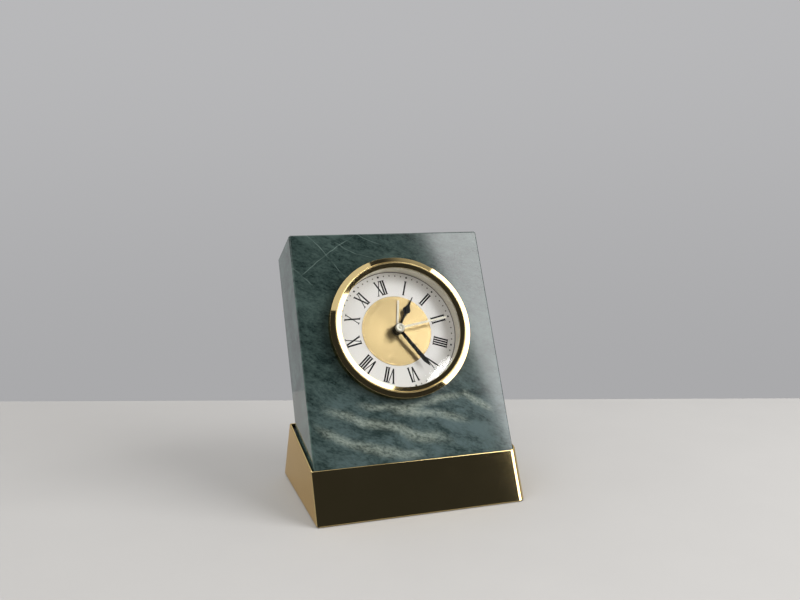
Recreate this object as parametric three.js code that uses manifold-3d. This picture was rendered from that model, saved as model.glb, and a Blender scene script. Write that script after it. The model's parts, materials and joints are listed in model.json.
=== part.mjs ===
// Marble table clock: a leaning stone slab in a gold sheet-metal base, with a round quartz alarm insert.
// Millimetres, +Z up, front towards -Y, origin under the middle of the whole clock on the table.
import * as THREE from 'three';
import { mergeVertices } from 'three/addons/utils/BufferGeometryUtils.js';
import Module from 'manifold-3d';

// Overall sizes
const WIDTH = 130;
const HEIGHT = 160;
const LEAN = THREE.MathUtils.degToRad(25);

// Stone slab: set in from the sides of the base, and standing on a seat inside it
const SLAB_MARGIN = 2;
const SLAB_SEAT = 6.4;
const SLAB_THICKNESS = 43;
const SLAB_CHAMFER = 1.2;

// Base: folded sheet wrap, core and foot pad
const BASE_DEPTH = 98;
const SHEET = 1;
const FRONT_RISE = 29;
const BACK_RISE = 40.5;
const BACK_SETBACK_LENGTH = 22;
const BEND_RADIUS = 3;
const PAD_THICKNESS = 1.6;
const PAD_PROUD = 0.3;
const CRADLE_RECESS = 3;

// Clearances
const SEAT_GAP = 0.3;
const LAYER_GAP = 0.1;
const RUN_GAP = 0.25;
const LEVEL_GAP = 0.5;

// Clock insert: bore, bezel and dial well
const INSERT_DROP = 64.2;
const INSERT_TURN = THREE.MathUtils.degToRad(12);
const BORE_RADIUS = 42;
const BEZEL_RADIUS = 45;
const BEZEL_HEIGHT = 6.8;
const BEZEL_SHOULDER_DROP = 0.8;
const BEZEL_EDGE = 0.4;
const BEZEL_CREST_INSET = 3.5;
const BEZEL_LIP_OVERHANG = 0.3;
const BEZEL_LIP_THICKNESS = 0.7;
const BEZEL_SKIRT = 3;
const FIT_RING_THICKNESS = 0.7;
const FIT_RING_WIDTH = 12;
const FIT_RING_RIBS = 2;
const FIT_RIB = 0.3;
const CASE_WALL = 1;
const CASE_RIM = 4.2;
const CASE_FLOOR = 1.6;
const CASE_DEPTH = 30;
const COVER_THICKNESS = 2;
const WELL_WALL = 0.8;
const LENS_THICKNESS = 0.9;
const LENS_DOME = 2.4;
const DIAL_DEPTH = 5;
const DIAL_THICKNESS = 0.6;
const CENTRE_RADIUS = 22.6;
const CENTRE_THICKNESS = 0.2;

// Hands: lengths from the axis, widths and the time they show
const HAND_THICKNESS = 0.4;
const HAND_SPACING = 1.9;
const HUB_RADIUS = 3.3;
const HOUR_LENGTH = 23;
const HOUR_SPADE_WIDTH = 4.6;
const HOUR_SPADE_START = 11.5;
const HOUR_STEM = 1.3;
const MINUTE_LENGTH = 30;
const MINUTE_SHOULDER = 25.5;
const MINUTE_WIDTH = 2.8;
const MINUTE_STEM = 1.3;
const SECOND_LENGTH = 32;
const SECOND_WIDTH = 0.9;
const ALARM_LENGTH = 20;
const ALARM_WIDTH = 0.9;
const CAP_RADIUS = 2.9;
const CAP_HEIGHT = 1.7;
const SHOWN_TIME = [1, 26, 15.4];
const ALARM_TIME = [0, 43.2];

// Nested centre tubes, from the second arbor out to the alarm tube
const ARBOR_RADIUS = 0.6;
const TUBE_WALL = 0.5;
const PIVOT_RADIUS = 0.4;

// Gear teeth: counts, sizes and proportions in modules and shares of a tooth's pitch
const GEAR_THICKNESS = 1;
const PINION_OVERLAP = 0.3;
const TOOTH_ADDENDUM = 0.75;
const TOOTH_DEDENDUM = 1.1;
const TOOTH_ROOT_SHARE = 0.25;
const TOOTH_TIP_SHARE = 0.12;
const ROTOR_PINION_TEETH = 6;
const INTERMEDIATE_TEETH = 36;
const INTERMEDIATE_PINION_TEETH = 6;
const SECOND_TEETH = 30;
const SECOND_PINION_TEETH = 6;
const THIRD_TEETH = 45;
const THIRD_PINION_TEETH = 6;
const CENTRE_TEETH = 48;
const CANNON_TEETH = 8;
const MINUTE_WORK_TEETH = 24;
const MINUTE_WORK_PINION_TEETH = 8;
const HOUR_TEETH = 32;
const TIME_SET_TEETH = 12;
const ALARM_TEETH = 24;
const ALARM_SET_TEETH = 18;
const THIRD_MODULE = 0.36;
const INTERMEDIATE_MODULE = 0.52;
const ROTOR_MODULE = 0.36;
const MOTION_MODULE = 0.45;
const ALARM_MODULE = 0.52;

// Directions of the gear axes round the centre
const THIRD_DIRECTION = THREE.MathUtils.degToRad(20);
const INTERMEDIATE_DIRECTION = THREE.MathUtils.degToRad(160);
const ROTOR_DIRECTION = THREE.MathUtils.degToRad(120);
const MINUTE_WORK_DIRECTION = THREE.MathUtils.degToRad(-40);
const TIME_SET_DIRECTION = THREE.MathUtils.degToRad(-8);
const ALARM_SET_DIRECTION = THREE.MathUtils.degToRad(212);

// Motor
const MAGNET_RADIUS = 2.6;
const MAGNET_LENGTH = 3;
const STATOR_THICKNESS = 1.5;
const STATOR_HALF_SPAN = 12;
const STATOR_LEG = 3;
const STATOR_BAR = 8.4;
const STATOR_REACH = 11.8;
const COIL_RADIUS = 3.4;
const COIL_LENGTH = 17;
const CORE_WIDTH = 3;
const CORE_THICKNESS = 1.6;

// Bridge, posts and screws
const BRIDGE_THICKNESS = 1.4;
const BRIDGE_EDGE = -10.3;
const POST_RADIUS = 2.2;
const STANDOFF_RADIUS = 1.5;
const SCREW_RADIUS = 0.9;
const SCREW_HEAD_RADIUS = 1.9;
const SCREW_HEAD = 1.3;
const SCREW_LENGTH = 6;
const COVER_SCREW_CIRCLE_RADIUS = 35.5;
const COVER_SCREW_DIRECTIONS = [90, 195, 345].map(THREE.MathUtils.degToRad);
const BRIDGE_POSTS = [[6, 27], [-29, 0], [23, 12]];

// Battery bay, board, buzzer and switch in the back of the case
const BATTERY_RADIUS = 7.25;
const BATTERY_LENGTH = 48.5;
const BATTERY_BUTTON = 2;
const BATTERY_BUTTON_RADIUS = 2.7;
const BATTERY_AXIS_Y = -19;
const BATTERY_RIB_X = 14;
const BAY_WALL = 1.2;
const CONTACT_THICKNESS = 0.5;
const CONTACT_SIZE = 8;
const DOOR_LENGTH = 52.4;
const DOOR_WIDTH = 14.9;
const DOOR_GRIP_WIDTH = 9;
const DOOR_GRIP_DEPTH = 0.9;
const BOARD_LEFT = -24;
const BOARD_RIGHT = 8;
const BOARD_LOW = 8;
const BOARD_HIGH = 28;
const BOARD_THICKNESS = 1.2;
const BOARD_STANDOFF = 1.4;
const CRYSTAL_RADIUS = 1;
const CRYSTAL_LENGTH = 6;
const CRYSTAL_AT = [-4, 12];
const BUZZER_RADIUS = 8;
const BUZZER_HEIGHT = 5;
const BUZZER_AT = [20, 17];
const SOUND_HOLE_RADIUS = 1;
const SOUND_HOLE_CIRCLE_RADIUS = 4.5;
const SOUND_HOLES = 6;
const SWITCH_AT = [-16, 21];
const SWITCH_TRAVEL = 4;
const SWITCH_NUB = 4;
const SWITCH_PLATE = 11;
const SWITCH_PLATE_THICKNESS = 1;
const SWITCH_PROUD = 1.6;
const SHAFT_RADIUS = 1.2;
const KNOB_RADIUS = 5;
const KNOB_HEIGHT = 4;
const KNOB_GROOVES = 12;
const KNOB_GROOVE_DEPTH = 0.5;

// Facets of round pieces
const FINE = 40;
const MEDIUM = 20;
const SMALL = 10;
const BEND_STEPS = 2;
const MERGE_DISTANCE = 1e-4;

const wasm = await Module();
wasm.setup();

// Solids and booleans
function toSolid(geometry) {
  const bare = geometry.clone();
  bare.deleteAttribute('normal');
  bare.deleteAttribute('uv');
  const merged = mergeVertices(bare, MERGE_DISTANCE);
  const vertProperties = new Float32Array(merged.attributes.position.array);
  const triVerts = new Uint32Array(merged.index.array);
  return new wasm.Manifold(new wasm.Mesh({ numProp: 3, vertProperties, triVerts }));
}

function toGeometry(solid) {
  const mesh = solid.getMesh();
  const geometry = new THREE.BufferGeometry();
  geometry.setAttribute('position', new THREE.BufferAttribute(mesh.vertProperties, 3));
  geometry.setIndex(new THREE.BufferAttribute(mesh.triVerts, 1));
  geometry.computeVertexNormals();
  return geometry;
}

function join(...geometries) {
  return toGeometry(geometries.map(toSolid).reduce((sum, solid) => sum.add(solid)));
}

function cut(base, ...tools) {
  return toGeometry(tools.map(toSolid).reduce((rest, tool) => rest.subtract(tool), toSolid(base)));
}

// Forms along the local Z axis
function plate(shape, low, high) {
  const curveSegments = SMALL / 2;
  const depth = high - low;
  const geometry = new THREE.ExtrudeGeometry(shape, { depth, bevelEnabled: false, curveSegments });
  return geometry.translate(0, 0, low);
}

function turned(profile, segments) {
  const points = profile.map(([radius, z]) => new THREE.Vector2(radius, z));
  if (THREE.ShapeUtils.area(points) < 0) points.reverse();
  points.push(points[0].clone());
  return new THREE.LatheGeometry(points, segments).rotateX(Math.PI / 2);
}

function rod(radius, low, high, segments = SMALL) {
  return turned([[0, low], [radius, low], [radius, high], [0, high]], segments);
}

function tube(inner, outer, low, high, segments = SMALL) {
  return turned([[inner, low], [outer, low], [outer, high], [inner, high]], segments);
}

function block(left, right, low, high, back, front) {
  const geometry = new THREE.BoxGeometry(right - left, high - low, front - back);
  return geometry.translate((left + right) / 2, (low + high) / 2, (back + front) / 2);
}

function polygon(points) {
  return new THREE.Shape(points.map(([x, y]) => new THREE.Vector2(x, y)));
}

function at(geometry, [x, y]) {
  return geometry.translate(x, y, 0);
}

// Places round the centre
function polar(radius, direction, [x, y] = [0, 0]) {
  return [x + radius * Math.cos(direction), y + radius * Math.sin(direction)];
}

// Gears
function gearShape(teeth, module, turn) {
  const pitchRadius = teeth * module / 2;
  const tip = pitchRadius + TOOTH_ADDENDUM * module;
  const root = pitchRadius - TOOTH_DEDENDUM * module;
  const step = 2 * Math.PI / teeth;
  const points = [];
  for (let tooth = 0; tooth < teeth; tooth += 1) {
    const middle = turn + tooth * step;
    points.push(polar(root, middle - TOOTH_ROOT_SHARE * step));
    points.push(polar(tip, middle - TOOTH_TIP_SHARE * step));
    points.push(polar(tip, middle + TOOTH_TIP_SHARE * step));
    points.push(polar(root, middle + TOOTH_ROOT_SHARE * step));
  }
  return polygon(points);
}

function gear(teeth, module, turn, low, high) {
  return plate(gearShape(teeth, module, turn), low, high);
}

// Turn of a gear whose gap meets its neighbour's tooth along the line between the two axes
function meshedTurn(neighbourTurn, neighbourTeeth, teeth, direction) {
  const phase = (direction - neighbourTurn) * neighbourTeeth / (2 * Math.PI);
  return direction + Math.PI - (0.5 - phase) * 2 * Math.PI / teeth;
}

// Materials
function finish(color, roughness, metalness) {
  return new THREE.MeshStandardMaterial({ color, roughness, metalness });
}

const MARBLE = finish(0x3f4a45, 0.15, 0);
const GOLD = finish(0xc9a24a, 0.1, 1);
const BRUSHED_GOLD = finish(0xd8b570, 0.35, 1);
const BLACK_CORE = finish(0x0c0c0c, 0.8, 0);
const BLACK_PAD = finish(0x151515, 0.95, 0);
const RUBBER = finish(0x1a1a1a, 0.9, 0);
const CLEAR = new THREE.MeshStandardMaterial({
  color: 0xf4f6f6, roughness: 0.05, metalness: 0, transparent: true, opacity: 0.25,
});
const DIAL_WHITE = finish(0xdad6d3, 0.5, 0);
const HAND_BLACK = finish(0x0a0a0a, 0.3, 0);
const HAND_CREAM = finish(0xe8dcb4, 0.3, 0.4);
const BLACK_PLASTIC = finish(0x17181a, 0.5, 0);
const WHITE_PLASTIC = finish(0xe4e2da, 0.45, 0);
const STEEL = finish(0x9a9c9e, 0.35, 1);
const BRASS = finish(0xb08d45, 0.35, 1);
const COPPER = finish(0xa4552c, 0.35, 1);
const BOARD_GREEN = finish(0x1d5a35, 0.5, 0);
const BATTERY_GREY = finish(0x5b6068, 0.4, 0.3);

// Table frame: front foot line of the base at y = 0, table at z = 0
const tanLean = Math.tan(LEAN);
const cosLean = Math.cos(LEAN);
const sinLean = Math.sin(LEAN);
const faceOffset = (SHEET + SEAT_GAP) / cosLean;
const slabTop = HEIGHT + SLAB_CHAMFER * sinLean;
const frontFoot = (z) => (z - PAD_PROUD) * tanLean;
const faceAt = (z) => faceOffset + frontFoot(z);
const backTilt = BACK_SETBACK_LENGTH / (BACK_RISE - PAD_PROUD);
const backFoot = (z) => BASE_DEPTH - (z - PAD_PROUD) * backTilt;
const slabBack = faceAt(slabTop) + SLAB_THICKNESS * cosLean - SLAB_CHAMFER * sinLean;
const slabLength = (slabTop - SLAB_SEAT - SLAB_THICKNESS * sinLean) / cosLean;
const depth = Math.max(slabBack, BASE_DEPTH);

const clock = new THREE.Group();
const table = new THREE.Group();
table.position.y = -depth / 2;
clock.add(table);

const face = new THREE.Group();
face.rotation.x = Math.PI / 2 - LEAN;
face.position.set(
  0,
  faceAt(slabTop) - INSERT_DROP * sinLean,
  slabTop - INSERT_DROP * cosLean,
);
table.add(face);

const insert = new THREE.Group();
insert.rotation.z = INSERT_TURN;
face.add(insert);

function add(group, name, geometry, material) {
  const mesh = new THREE.Mesh(geometry, material);
  mesh.name = name;
  group.add(mesh);
  return mesh;
}

// Slab: chamfered block with the through bore
function slabGeometry() {
  const half = WIDTH / 2 - SLAB_MARGIN;
  const top = INSERT_DROP;
  const foot = INSERT_DROP - slabLength;
  const c = SLAB_CHAMFER;
  const shape = polygon([
    [half - c, foot], [half, foot + c], [half, top - c], [half - c, top],
    [c - half, top], [-half, top - c], [-half, foot + c], [c - half, foot],
  ]);
  const bore = new THREE.Path();
  bore.absarc(0, 0, BORE_RADIUS, 0, 2 * Math.PI, true);
  shape.holes.push(bore);
  const geometry = new THREE.ExtrudeGeometry(shape, {
    depth: SLAB_THICKNESS - 2 * c,
    bevelThickness: c,
    bevelSize: c,
    bevelOffset: -c,
    bevelSegments: 1,
    curveSegments: FINE / 2,
  });
  return geometry.translate(0, 0, c - SLAB_THICKNESS);
}

add(face, 'marble_slab', slabGeometry(), MARBLE);

// Base: a rounded outline whose front and back walls lean, under a sloping top plane
const topSlope = (BACK_RISE - FRONT_RISE) / (backFoot(BACK_RISE) - frontFoot(FRONT_RISE));
const topAt = (y) => FRONT_RISE + (y - frontFoot(FRONT_RISE)) * topSlope;
const level = (z) => () => z - PAD_PROUD;
const slopingTop = (drop) => (y, drift) => (topAt(y) - drop - PAD_PROUD) / (1 - topSlope * drift);

function baseOutline(half, front, back, radius) {
  const outline = new THREE.Shape();
  outline.absarc(half - radius, front + radius, radius, -Math.PI / 2, 0, false);
  outline.absarc(half - radius, back - radius, radius, 0, Math.PI / 2, false);
  outline.absarc(radius - half, back - radius, radius, Math.PI / 2, Math.PI, false);
  outline.absarc(radius - half, front + radius, radius, Math.PI, 3 * Math.PI / 2, false);
  return outline;
}

// Leaning block inside the base's outer walls by an inset, between two height functions
function leaningBlock(inset, lowAt, highAt) {
  const front = inset / cosLean;
  const back = BASE_DEPTH - inset * Math.hypot(1, backTilt);
  const outline = baseOutline(WIDTH / 2 - inset, front, back, BEND_RADIUS - inset);
  const curveSegments = BEND_STEPS;
  const geometry = new THREE.ExtrudeGeometry(outline, { depth: 1, bevelEnabled: false, curveSegments });
  const position = geometry.attributes.position;
  for (let i = 0; i < position.count; i += 1) {
    const y = position.getY(i);
    const share = (y - front) / (back - front);
    const drift = tanLean * (1 - share) - backTilt * share;
    const heightAt = position.getZ(i) > 0 ? highAt : lowAt;
    const rise = heightAt(y, drift);
    position.setXYZ(i, position.getX(i), y + rise * drift, PAD_PROUD + rise);
  }
  return geometry;
}

add(table, 'base_shell', cut(
  leaningBlock(0, level(PAD_PROUD), slopingTop(0)),
  leaningBlock(SHEET, level(0), slopingTop(-SEAT_GAP)),
), GOLD);

// Cradle: core of the base, cut to a sloping seat under the slab and a rest behind it
const coreInset = SHEET + SEAT_GAP;
const coreFoot = PAD_THICKNESS + SEAT_GAP;
face.updateMatrix();
const slabSpace = block(
  -WIDTH / 2,
  WIDTH / 2,
  INSERT_DROP - slabLength - SEAT_GAP,
  INSERT_DROP,
  -SLAB_THICKNESS - SEAT_GAP,
  SLAB_THICKNESS,
).applyMatrix4(face.matrix);
add(table, 'slab_cradle', cut(
  leaningBlock(coreInset, level(coreFoot), slopingTop(CRADLE_RECESS)),
  slabSpace,
), BLACK_CORE);

// Foot pad inside the wrap, a little proud of it
add(table, 'foot_pad', leaningBlock(coreInset, level(0), level(PAD_THICKNESS)), BLACK_PAD);

// Radii of the nested insert, from the bore inwards
const ringOuter = BORE_RADIUS - SEAT_GAP;
const ringInner = ringOuter - FIT_RING_THICKNESS;
const caseOuter = ringInner - SEAT_GAP;
const caseInner = caseOuter - CASE_WALL;
const dialRadius = caseInner - SEAT_GAP;
const wellRadius = dialRadius - WELL_WALL;
const lipRadius = wellRadius - BEZEL_LIP_OVERHANG;

// Heights of the insert, outwards from the stone face
const lensFoot = CASE_RIM + SEAT_GAP;
const lipFoot = lensFoot + LENS_THICKNESS + SEAT_GAP;
const dialFoot = -DIAL_DEPTH - DIAL_THICKNESS;
const floorFront = dialFoot - SEAT_GAP;
const floorBack = floorFront - CASE_FLOOR;
const coverFront = -CASE_DEPTH - SEAT_GAP;
const coverBack = coverFront - COVER_THICKNESS;

// Fit ring: ribbed band that grips the bore
function fitRingGeometry() {
  const front = -BEZEL_SKIRT - SEAT_GAP;
  const back = front - FIT_RING_WIDTH;
  const band = ringOuter - FIT_RIB;
  const pitch = FIT_RING_WIDTH / FIT_RING_RIBS;
  const profile = [[ringInner, front], [ringInner, back]];
  for (let rib = 0; rib < FIT_RING_RIBS; rib += 1) {
    const foot = back + rib * pitch;
    profile.push([band, foot], [ringOuter, foot + pitch / 2]);
  }
  profile.push([band, front]);
  return turned(profile, FINE);
}

add(face, 'fit_ring', fitRingGeometry(), RUBBER);

// Bezel: upright outer wall, two shallow bands with a crest between, lip over the lens and skirt in the bore
function bezelGeometry() {
  const lensEdge = caseInner + SEAT_GAP;
  const shoulder = BEZEL_HEIGHT - BEZEL_SHOULDER_DROP;
  return turned([
    [lipRadius, lipFoot],
    [lensEdge, lipFoot],
    [lensEdge, lensFoot],
    [caseOuter + SEAT_GAP, lensFoot],
    [caseOuter + SEAT_GAP, -BEZEL_SKIRT],
    [ringOuter, -BEZEL_SKIRT],
    [ringOuter, SEAT_GAP],
    [BEZEL_RADIUS, SEAT_GAP],
    [BEZEL_RADIUS, shoulder - BEZEL_EDGE],
    [BEZEL_RADIUS - BEZEL_EDGE, shoulder],
    [BEZEL_RADIUS - BEZEL_CREST_INSET, BEZEL_HEIGHT],
    [lipRadius, lipFoot + BEZEL_LIP_THICKNESS],
  ], FINE);
}

add(insert, 'bezel', bezelGeometry(), GOLD);

// Lens: shallow dome with a flat rim under the bezel's lip
function lensGeometry() {
  const rim = lipRadius - SEAT_GAP;
  const steps = 3;
  const dome = (radius) => LENS_DOME * (1 - (radius / rim) ** 2);
  const radii = Array.from({ length: steps + 1 }, (_, i) => rim * i / steps);
  const under = radii.map((radius) => [radius, lensFoot + dome(radius)]);
  const over = radii.map((radius) => [radius, lensFoot + LENS_THICKNESS + dome(radius)]).reverse();
  return turned([...under, [caseInner, lensFoot], [caseInner, lensFoot + LENS_THICKNESS], ...over], FINE);
}

add(insert, 'lens', lensGeometry(), CLEAR);

// Dial well: ring between the lens and the dial, dial plate and applied gold centre
const alarmTubeOuter = ARBOR_RADIUS + 3 * (RUN_GAP + TUBE_WALL);
const dialHole = alarmTubeOuter + RUN_GAP;

add(insert, 'dial_ring', tube(wellRadius, dialRadius, SEAT_GAP - DIAL_DEPTH, CASE_RIM, FINE), GOLD);
add(insert, 'dial_plate', tube(dialHole, dialRadius, dialFoot, -DIAL_DEPTH, FINE), DIAL_WHITE);
const centreFoot = LAYER_GAP - DIAL_DEPTH;
const centreTop = centreFoot + CENTRE_THICKNESS;
add(insert, 'dial_centre', tube(dialHole, CENTRE_RADIUS, centreFoot, centreTop, FINE), BRUSHED_GOLD);

// Levels of the wheels behind the case floor, dial side first
const wheelPitch = GEAR_THICKNESS + 2 * PINION_OVERLAP;
const alarmLevel = floorBack - LEVEL_GAP - GEAR_THICKNESS;
const hourLevel = alarmLevel - wheelPitch;
const motionLevel = hourLevel - wheelPitch - LAYER_GAP;
const centreLevel = motionLevel - wheelPitch - PINION_OVERLAP;
const thirdLevel = centreLevel - wheelPitch - LEVEL_GAP;
const secondLevel = thirdLevel - wheelPitch - LAYER_GAP;
const intermediateLevel = secondLevel - wheelPitch - LAYER_GAP;
const bridgeFront = intermediateLevel - PINION_OVERLAP - LEVEL_GAP;
const bridgeBack = bridgeFront - BRIDGE_THICKNESS;

// Centre distances and axes of the train
const thirdDistance = THIRD_MODULE * (SECOND_PINION_TEETH + THIRD_TEETH) / 2;
const centreModule = 2 * thirdDistance / (THIRD_PINION_TEETH + CENTRE_TEETH);
const intermediateDistance = INTERMEDIATE_MODULE * (INTERMEDIATE_PINION_TEETH + SECOND_TEETH) / 2;
const rotorDistance = ROTOR_MODULE * (INTERMEDIATE_TEETH + ROTOR_PINION_TEETH) / 2;
const minuteWorkDistance = MOTION_MODULE * (CANNON_TEETH + MINUTE_WORK_TEETH) / 2;
const hourModule = 2 * minuteWorkDistance / (MINUTE_WORK_PINION_TEETH + HOUR_TEETH);
const timeSetDistance = MOTION_MODULE * (MINUTE_WORK_TEETH + TIME_SET_TEETH) / 2;
const alarmSetDistance = ALARM_MODULE * (ALARM_TEETH + ALARM_SET_TEETH) / 2;
const thirdAxis = polar(thirdDistance, THIRD_DIRECTION);
const intermediateAxis = polar(intermediateDistance, INTERMEDIATE_DIRECTION);
const rotorAxis = polar(rotorDistance, ROTOR_DIRECTION, intermediateAxis);
const minuteWorkAxis = polar(minuteWorkDistance, MINUTE_WORK_DIRECTION);
const timeSetAxis = polar(timeSetDistance, TIME_SET_DIRECTION, minuteWorkAxis);
const alarmSetAxis = polar(alarmSetDistance, ALARM_SET_DIRECTION);

// Stator plane and coil
const statorFront = centreLevel - LEVEL_GAP - PINION_OVERLAP;
const statorBack = statorFront - STATOR_THICKNESS;
const coreBack = statorFront + SEAT_GAP;
const coilY = rotorAxis[1] + STATOR_REACH - CORE_WIDTH / 2;

// Battery bay
const batteryAxisZ = coverFront + LEVEL_GAP + BATTERY_RADIUS;
const batteryEnd = BATTERY_LENGTH / 2;
const bayEnd = batteryEnd + BATTERY_BUTTON + SEAT_GAP + CONTACT_THICKNESS + SEAT_GAP;
const doorLow = BATTERY_AXIS_Y - DOOR_WIDTH / 2;
const doorHigh = BATTERY_AXIS_Y + DOOR_WIDTH / 2;

// Case body: drum with the dial floor, posts, studs and battery ribs moulded in
function caseGeometry() {
  const screwPosts = COVER_SCREW_DIRECTIONS.map((direction) => {
    const post = rod(POST_RADIUS, -CASE_DEPTH, floorBack + CASE_FLOOR / 2);
    return at(post, polar(COVER_SCREW_CIRCLE_RADIUS, direction));
  });
  const bridgePosts = BRIDGE_POSTS.map((place) => {
    return at(rod(POST_RADIUS, bridgeFront + SEAT_GAP, floorBack + CASE_FLOOR / 2), place);
  });
  const statorPosts = [-1, 1].map((side) => {
    const x = rotorAxis[0] + side * (STATOR_HALF_SPAN - STATOR_LEG / 2);
    return at(rod(STANDOFF_RADIUS, statorFront + SEAT_GAP, floorBack + CASE_FLOOR / 2), [x, rotorAxis[1]]);
  });
  const studEnd = motionLevel - PINION_OVERLAP;
  const minuteWorkStud = at(rod(PIVOT_RADIUS, studEnd, floorBack + CASE_FLOOR / 2), minuteWorkAxis);
  const bayWalls = [-1, 1].map((side) => {
    const x = side * (bayEnd + BAY_WALL / 2);
    const [low, high] = [BATTERY_AXIS_Y - CONTACT_SIZE / 2, BATTERY_AXIS_Y + CONTACT_SIZE / 2];
    return block(x - BAY_WALL / 2, x + BAY_WALL / 2, low, high, -CASE_DEPTH, floorBack + CASE_FLOOR / 2);
  });
  const batteryRibs = [-1, 1].map((side) => {
    const x = side * BATTERY_RIB_X;
    const ribFoot = batteryAxisZ + BATTERY_RADIUS + SEAT_GAP;
    const [low, high] = [BATTERY_AXIS_Y - CONTACT_SIZE / 2, BATTERY_AXIS_Y + CONTACT_SIZE / 2];
    return block(x - BAY_WALL / 2, x + BAY_WALL / 2, low, high, ribFoot, floorBack + CASE_FLOOR / 2);
  });
  const drum = turned([
    [dialHole, floorFront], [caseInner, floorFront], [caseInner, CASE_RIM], [caseOuter, CASE_RIM],
    [caseOuter, -CASE_DEPTH], [caseInner, -CASE_DEPTH], [caseInner, floorBack], [dialHole, floorBack],
  ], FINE);
  const posts = [...screwPosts, ...bridgePosts, ...statorPosts, minuteWorkStud];
  const body = join(drum, ...posts, ...bayWalls, ...batteryRibs);
  const pivotHole = PIVOT_RADIUS + RUN_GAP;
  const pivots = [thirdAxis, intermediateAxis, rotorAxis].map((axis) => {
    return at(rod(pivotHole, floorBack - SEAT_GAP, floorFront + SEAT_GAP), axis);
  });
  const screwHole = SCREW_RADIUS + LAYER_GAP;
  const coverHoles = COVER_SCREW_DIRECTIONS.map((direction) => {
    const hole = rod(screwHole, -CASE_DEPTH - SEAT_GAP, SCREW_LENGTH - CASE_DEPTH);
    return at(hole, polar(COVER_SCREW_CIRCLE_RADIUS, direction));
  });
  const bridgeHoles = BRIDGE_POSTS.map((place) => {
    return at(rod(screwHole, bridgeBack, bridgeBack + SCREW_LENGTH + SEAT_GAP), place);
  });
  return cut(body, ...pivots, ...coverHoles, ...bridgeHoles);
}

add(insert, 'case_body', caseGeometry(), BLACK_PLASTIC);

// Rear cover with the battery opening, shaft holes, switch slot and sound holes
function coverGeometry() {
  const [low, high] = [coverBack - SEAT_GAP, coverFront + SEAT_GAP];
  const shaftHole = SHAFT_RADIUS + RUN_GAP;
  const shafts = [timeSetAxis, alarmSetAxis].map((axis) => at(rod(shaftHole, low, high), axis));
  const screws = COVER_SCREW_DIRECTIONS.map((direction) => {
    return at(rod(SCREW_RADIUS + LAYER_GAP, low, high), polar(COVER_SCREW_CIRCLE_RADIUS, direction));
  });
  const sound = Array.from({ length: SOUND_HOLES }, (_, i) => {
    const place = polar(SOUND_HOLE_CIRCLE_RADIUS, 2 * Math.PI * i / SOUND_HOLES, BUZZER_AT);
    return at(rod(SOUND_HOLE_RADIUS, low, high), place);
  });
  const halfDoor = DOOR_LENGTH / 2 + SEAT_GAP;
  const door = block(-halfDoor, halfDoor, doorLow - SEAT_GAP, doorHigh + SEAT_GAP, low, high);
  const [switchX, switchY] = SWITCH_AT;
  const slot = block(
    switchX - SWITCH_NUB / 2 - SEAT_GAP,
    switchX + SWITCH_NUB / 2 + SWITCH_TRAVEL + SEAT_GAP,
    switchY - SWITCH_NUB / 2 - SEAT_GAP,
    switchY + SWITCH_NUB / 2 + SEAT_GAP,
    low,
    high,
  );
  return cut(rod(caseOuter, coverBack, coverFront, FINE), ...shafts, ...screws, ...sound, door, slot);
}

add(insert, 'rear_cover', coverGeometry(), BLACK_PLASTIC);

// Screws: a head outside the plate it clamps, and a plain shank
function screwGeometry(headZ) {
  return turned([
    [0, headZ - SCREW_HEAD],
    [SCREW_HEAD_RADIUS, headZ - SCREW_HEAD],
    [SCREW_HEAD_RADIUS, headZ],
    [SCREW_RADIUS, headZ],
    [SCREW_RADIUS, headZ + SCREW_LENGTH],
    [0, headZ + SCREW_LENGTH],
  ], SMALL);
}

COVER_SCREW_DIRECTIONS.forEach((direction, i) => {
  const screw = at(screwGeometry(coverBack - LAYER_GAP), polar(COVER_SCREW_CIRCLE_RADIUS, direction));
  add(insert, `cover_screw_${i + 1}`, screw, STEEL);
});
BRIDGE_POSTS.forEach((place, i) => {
  add(insert, `bridge_screw_${i + 1}`, at(screwGeometry(bridgeBack - LAYER_GAP), place), STEEL);
});

// Train bridge: plate behind the wheels with pivot holes, shaft holes and standoffs for the board
function bridgeGeometry() {
  const radius = COVER_SCREW_CIRCLE_RADIUS - POST_RADIUS - SEAT_GAP;
  const corner = Math.asin(BRIDGE_EDGE / radius);
  const outline = new THREE.Shape();
  outline.absarc(0, 0, radius, corner, Math.PI - corner, false);
  outline.closePath();
  const standoffs = [[BOARD_LEFT, BOARD_LOW], [BOARD_RIGHT, BOARD_LOW]].map(([x, y]) => {
    const inward = x < 0 ? STANDOFF_RADIUS : -STANDOFF_RADIUS;
    const post = rod(STANDOFF_RADIUS, bridgeBack - BOARD_STANDOFF, bridgeFront);
    return at(post, [x + inward, y + STANDOFF_RADIUS]);
  });
  const [low, high] = [bridgeBack - SEAT_GAP, bridgeFront + SEAT_GAP];
  const pivots = [[0, 0], thirdAxis, intermediateAxis, rotorAxis].map((axis) => {
    return at(rod(PIVOT_RADIUS + RUN_GAP, low, high), axis);
  });
  const shafts = [timeSetAxis, alarmSetAxis].map((axis) => at(rod(SHAFT_RADIUS + RUN_GAP, low, high), axis));
  const screws = BRIDGE_POSTS.map((place) => at(rod(SCREW_RADIUS + LAYER_GAP, low, high), place));
  return cut(join(plate(outline, bridgeBack, bridgeFront), ...standoffs), ...pivots, ...shafts, ...screws);
}

add(insert, 'train_bridge', bridgeGeometry(), WHITE_PLASTIC);

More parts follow.
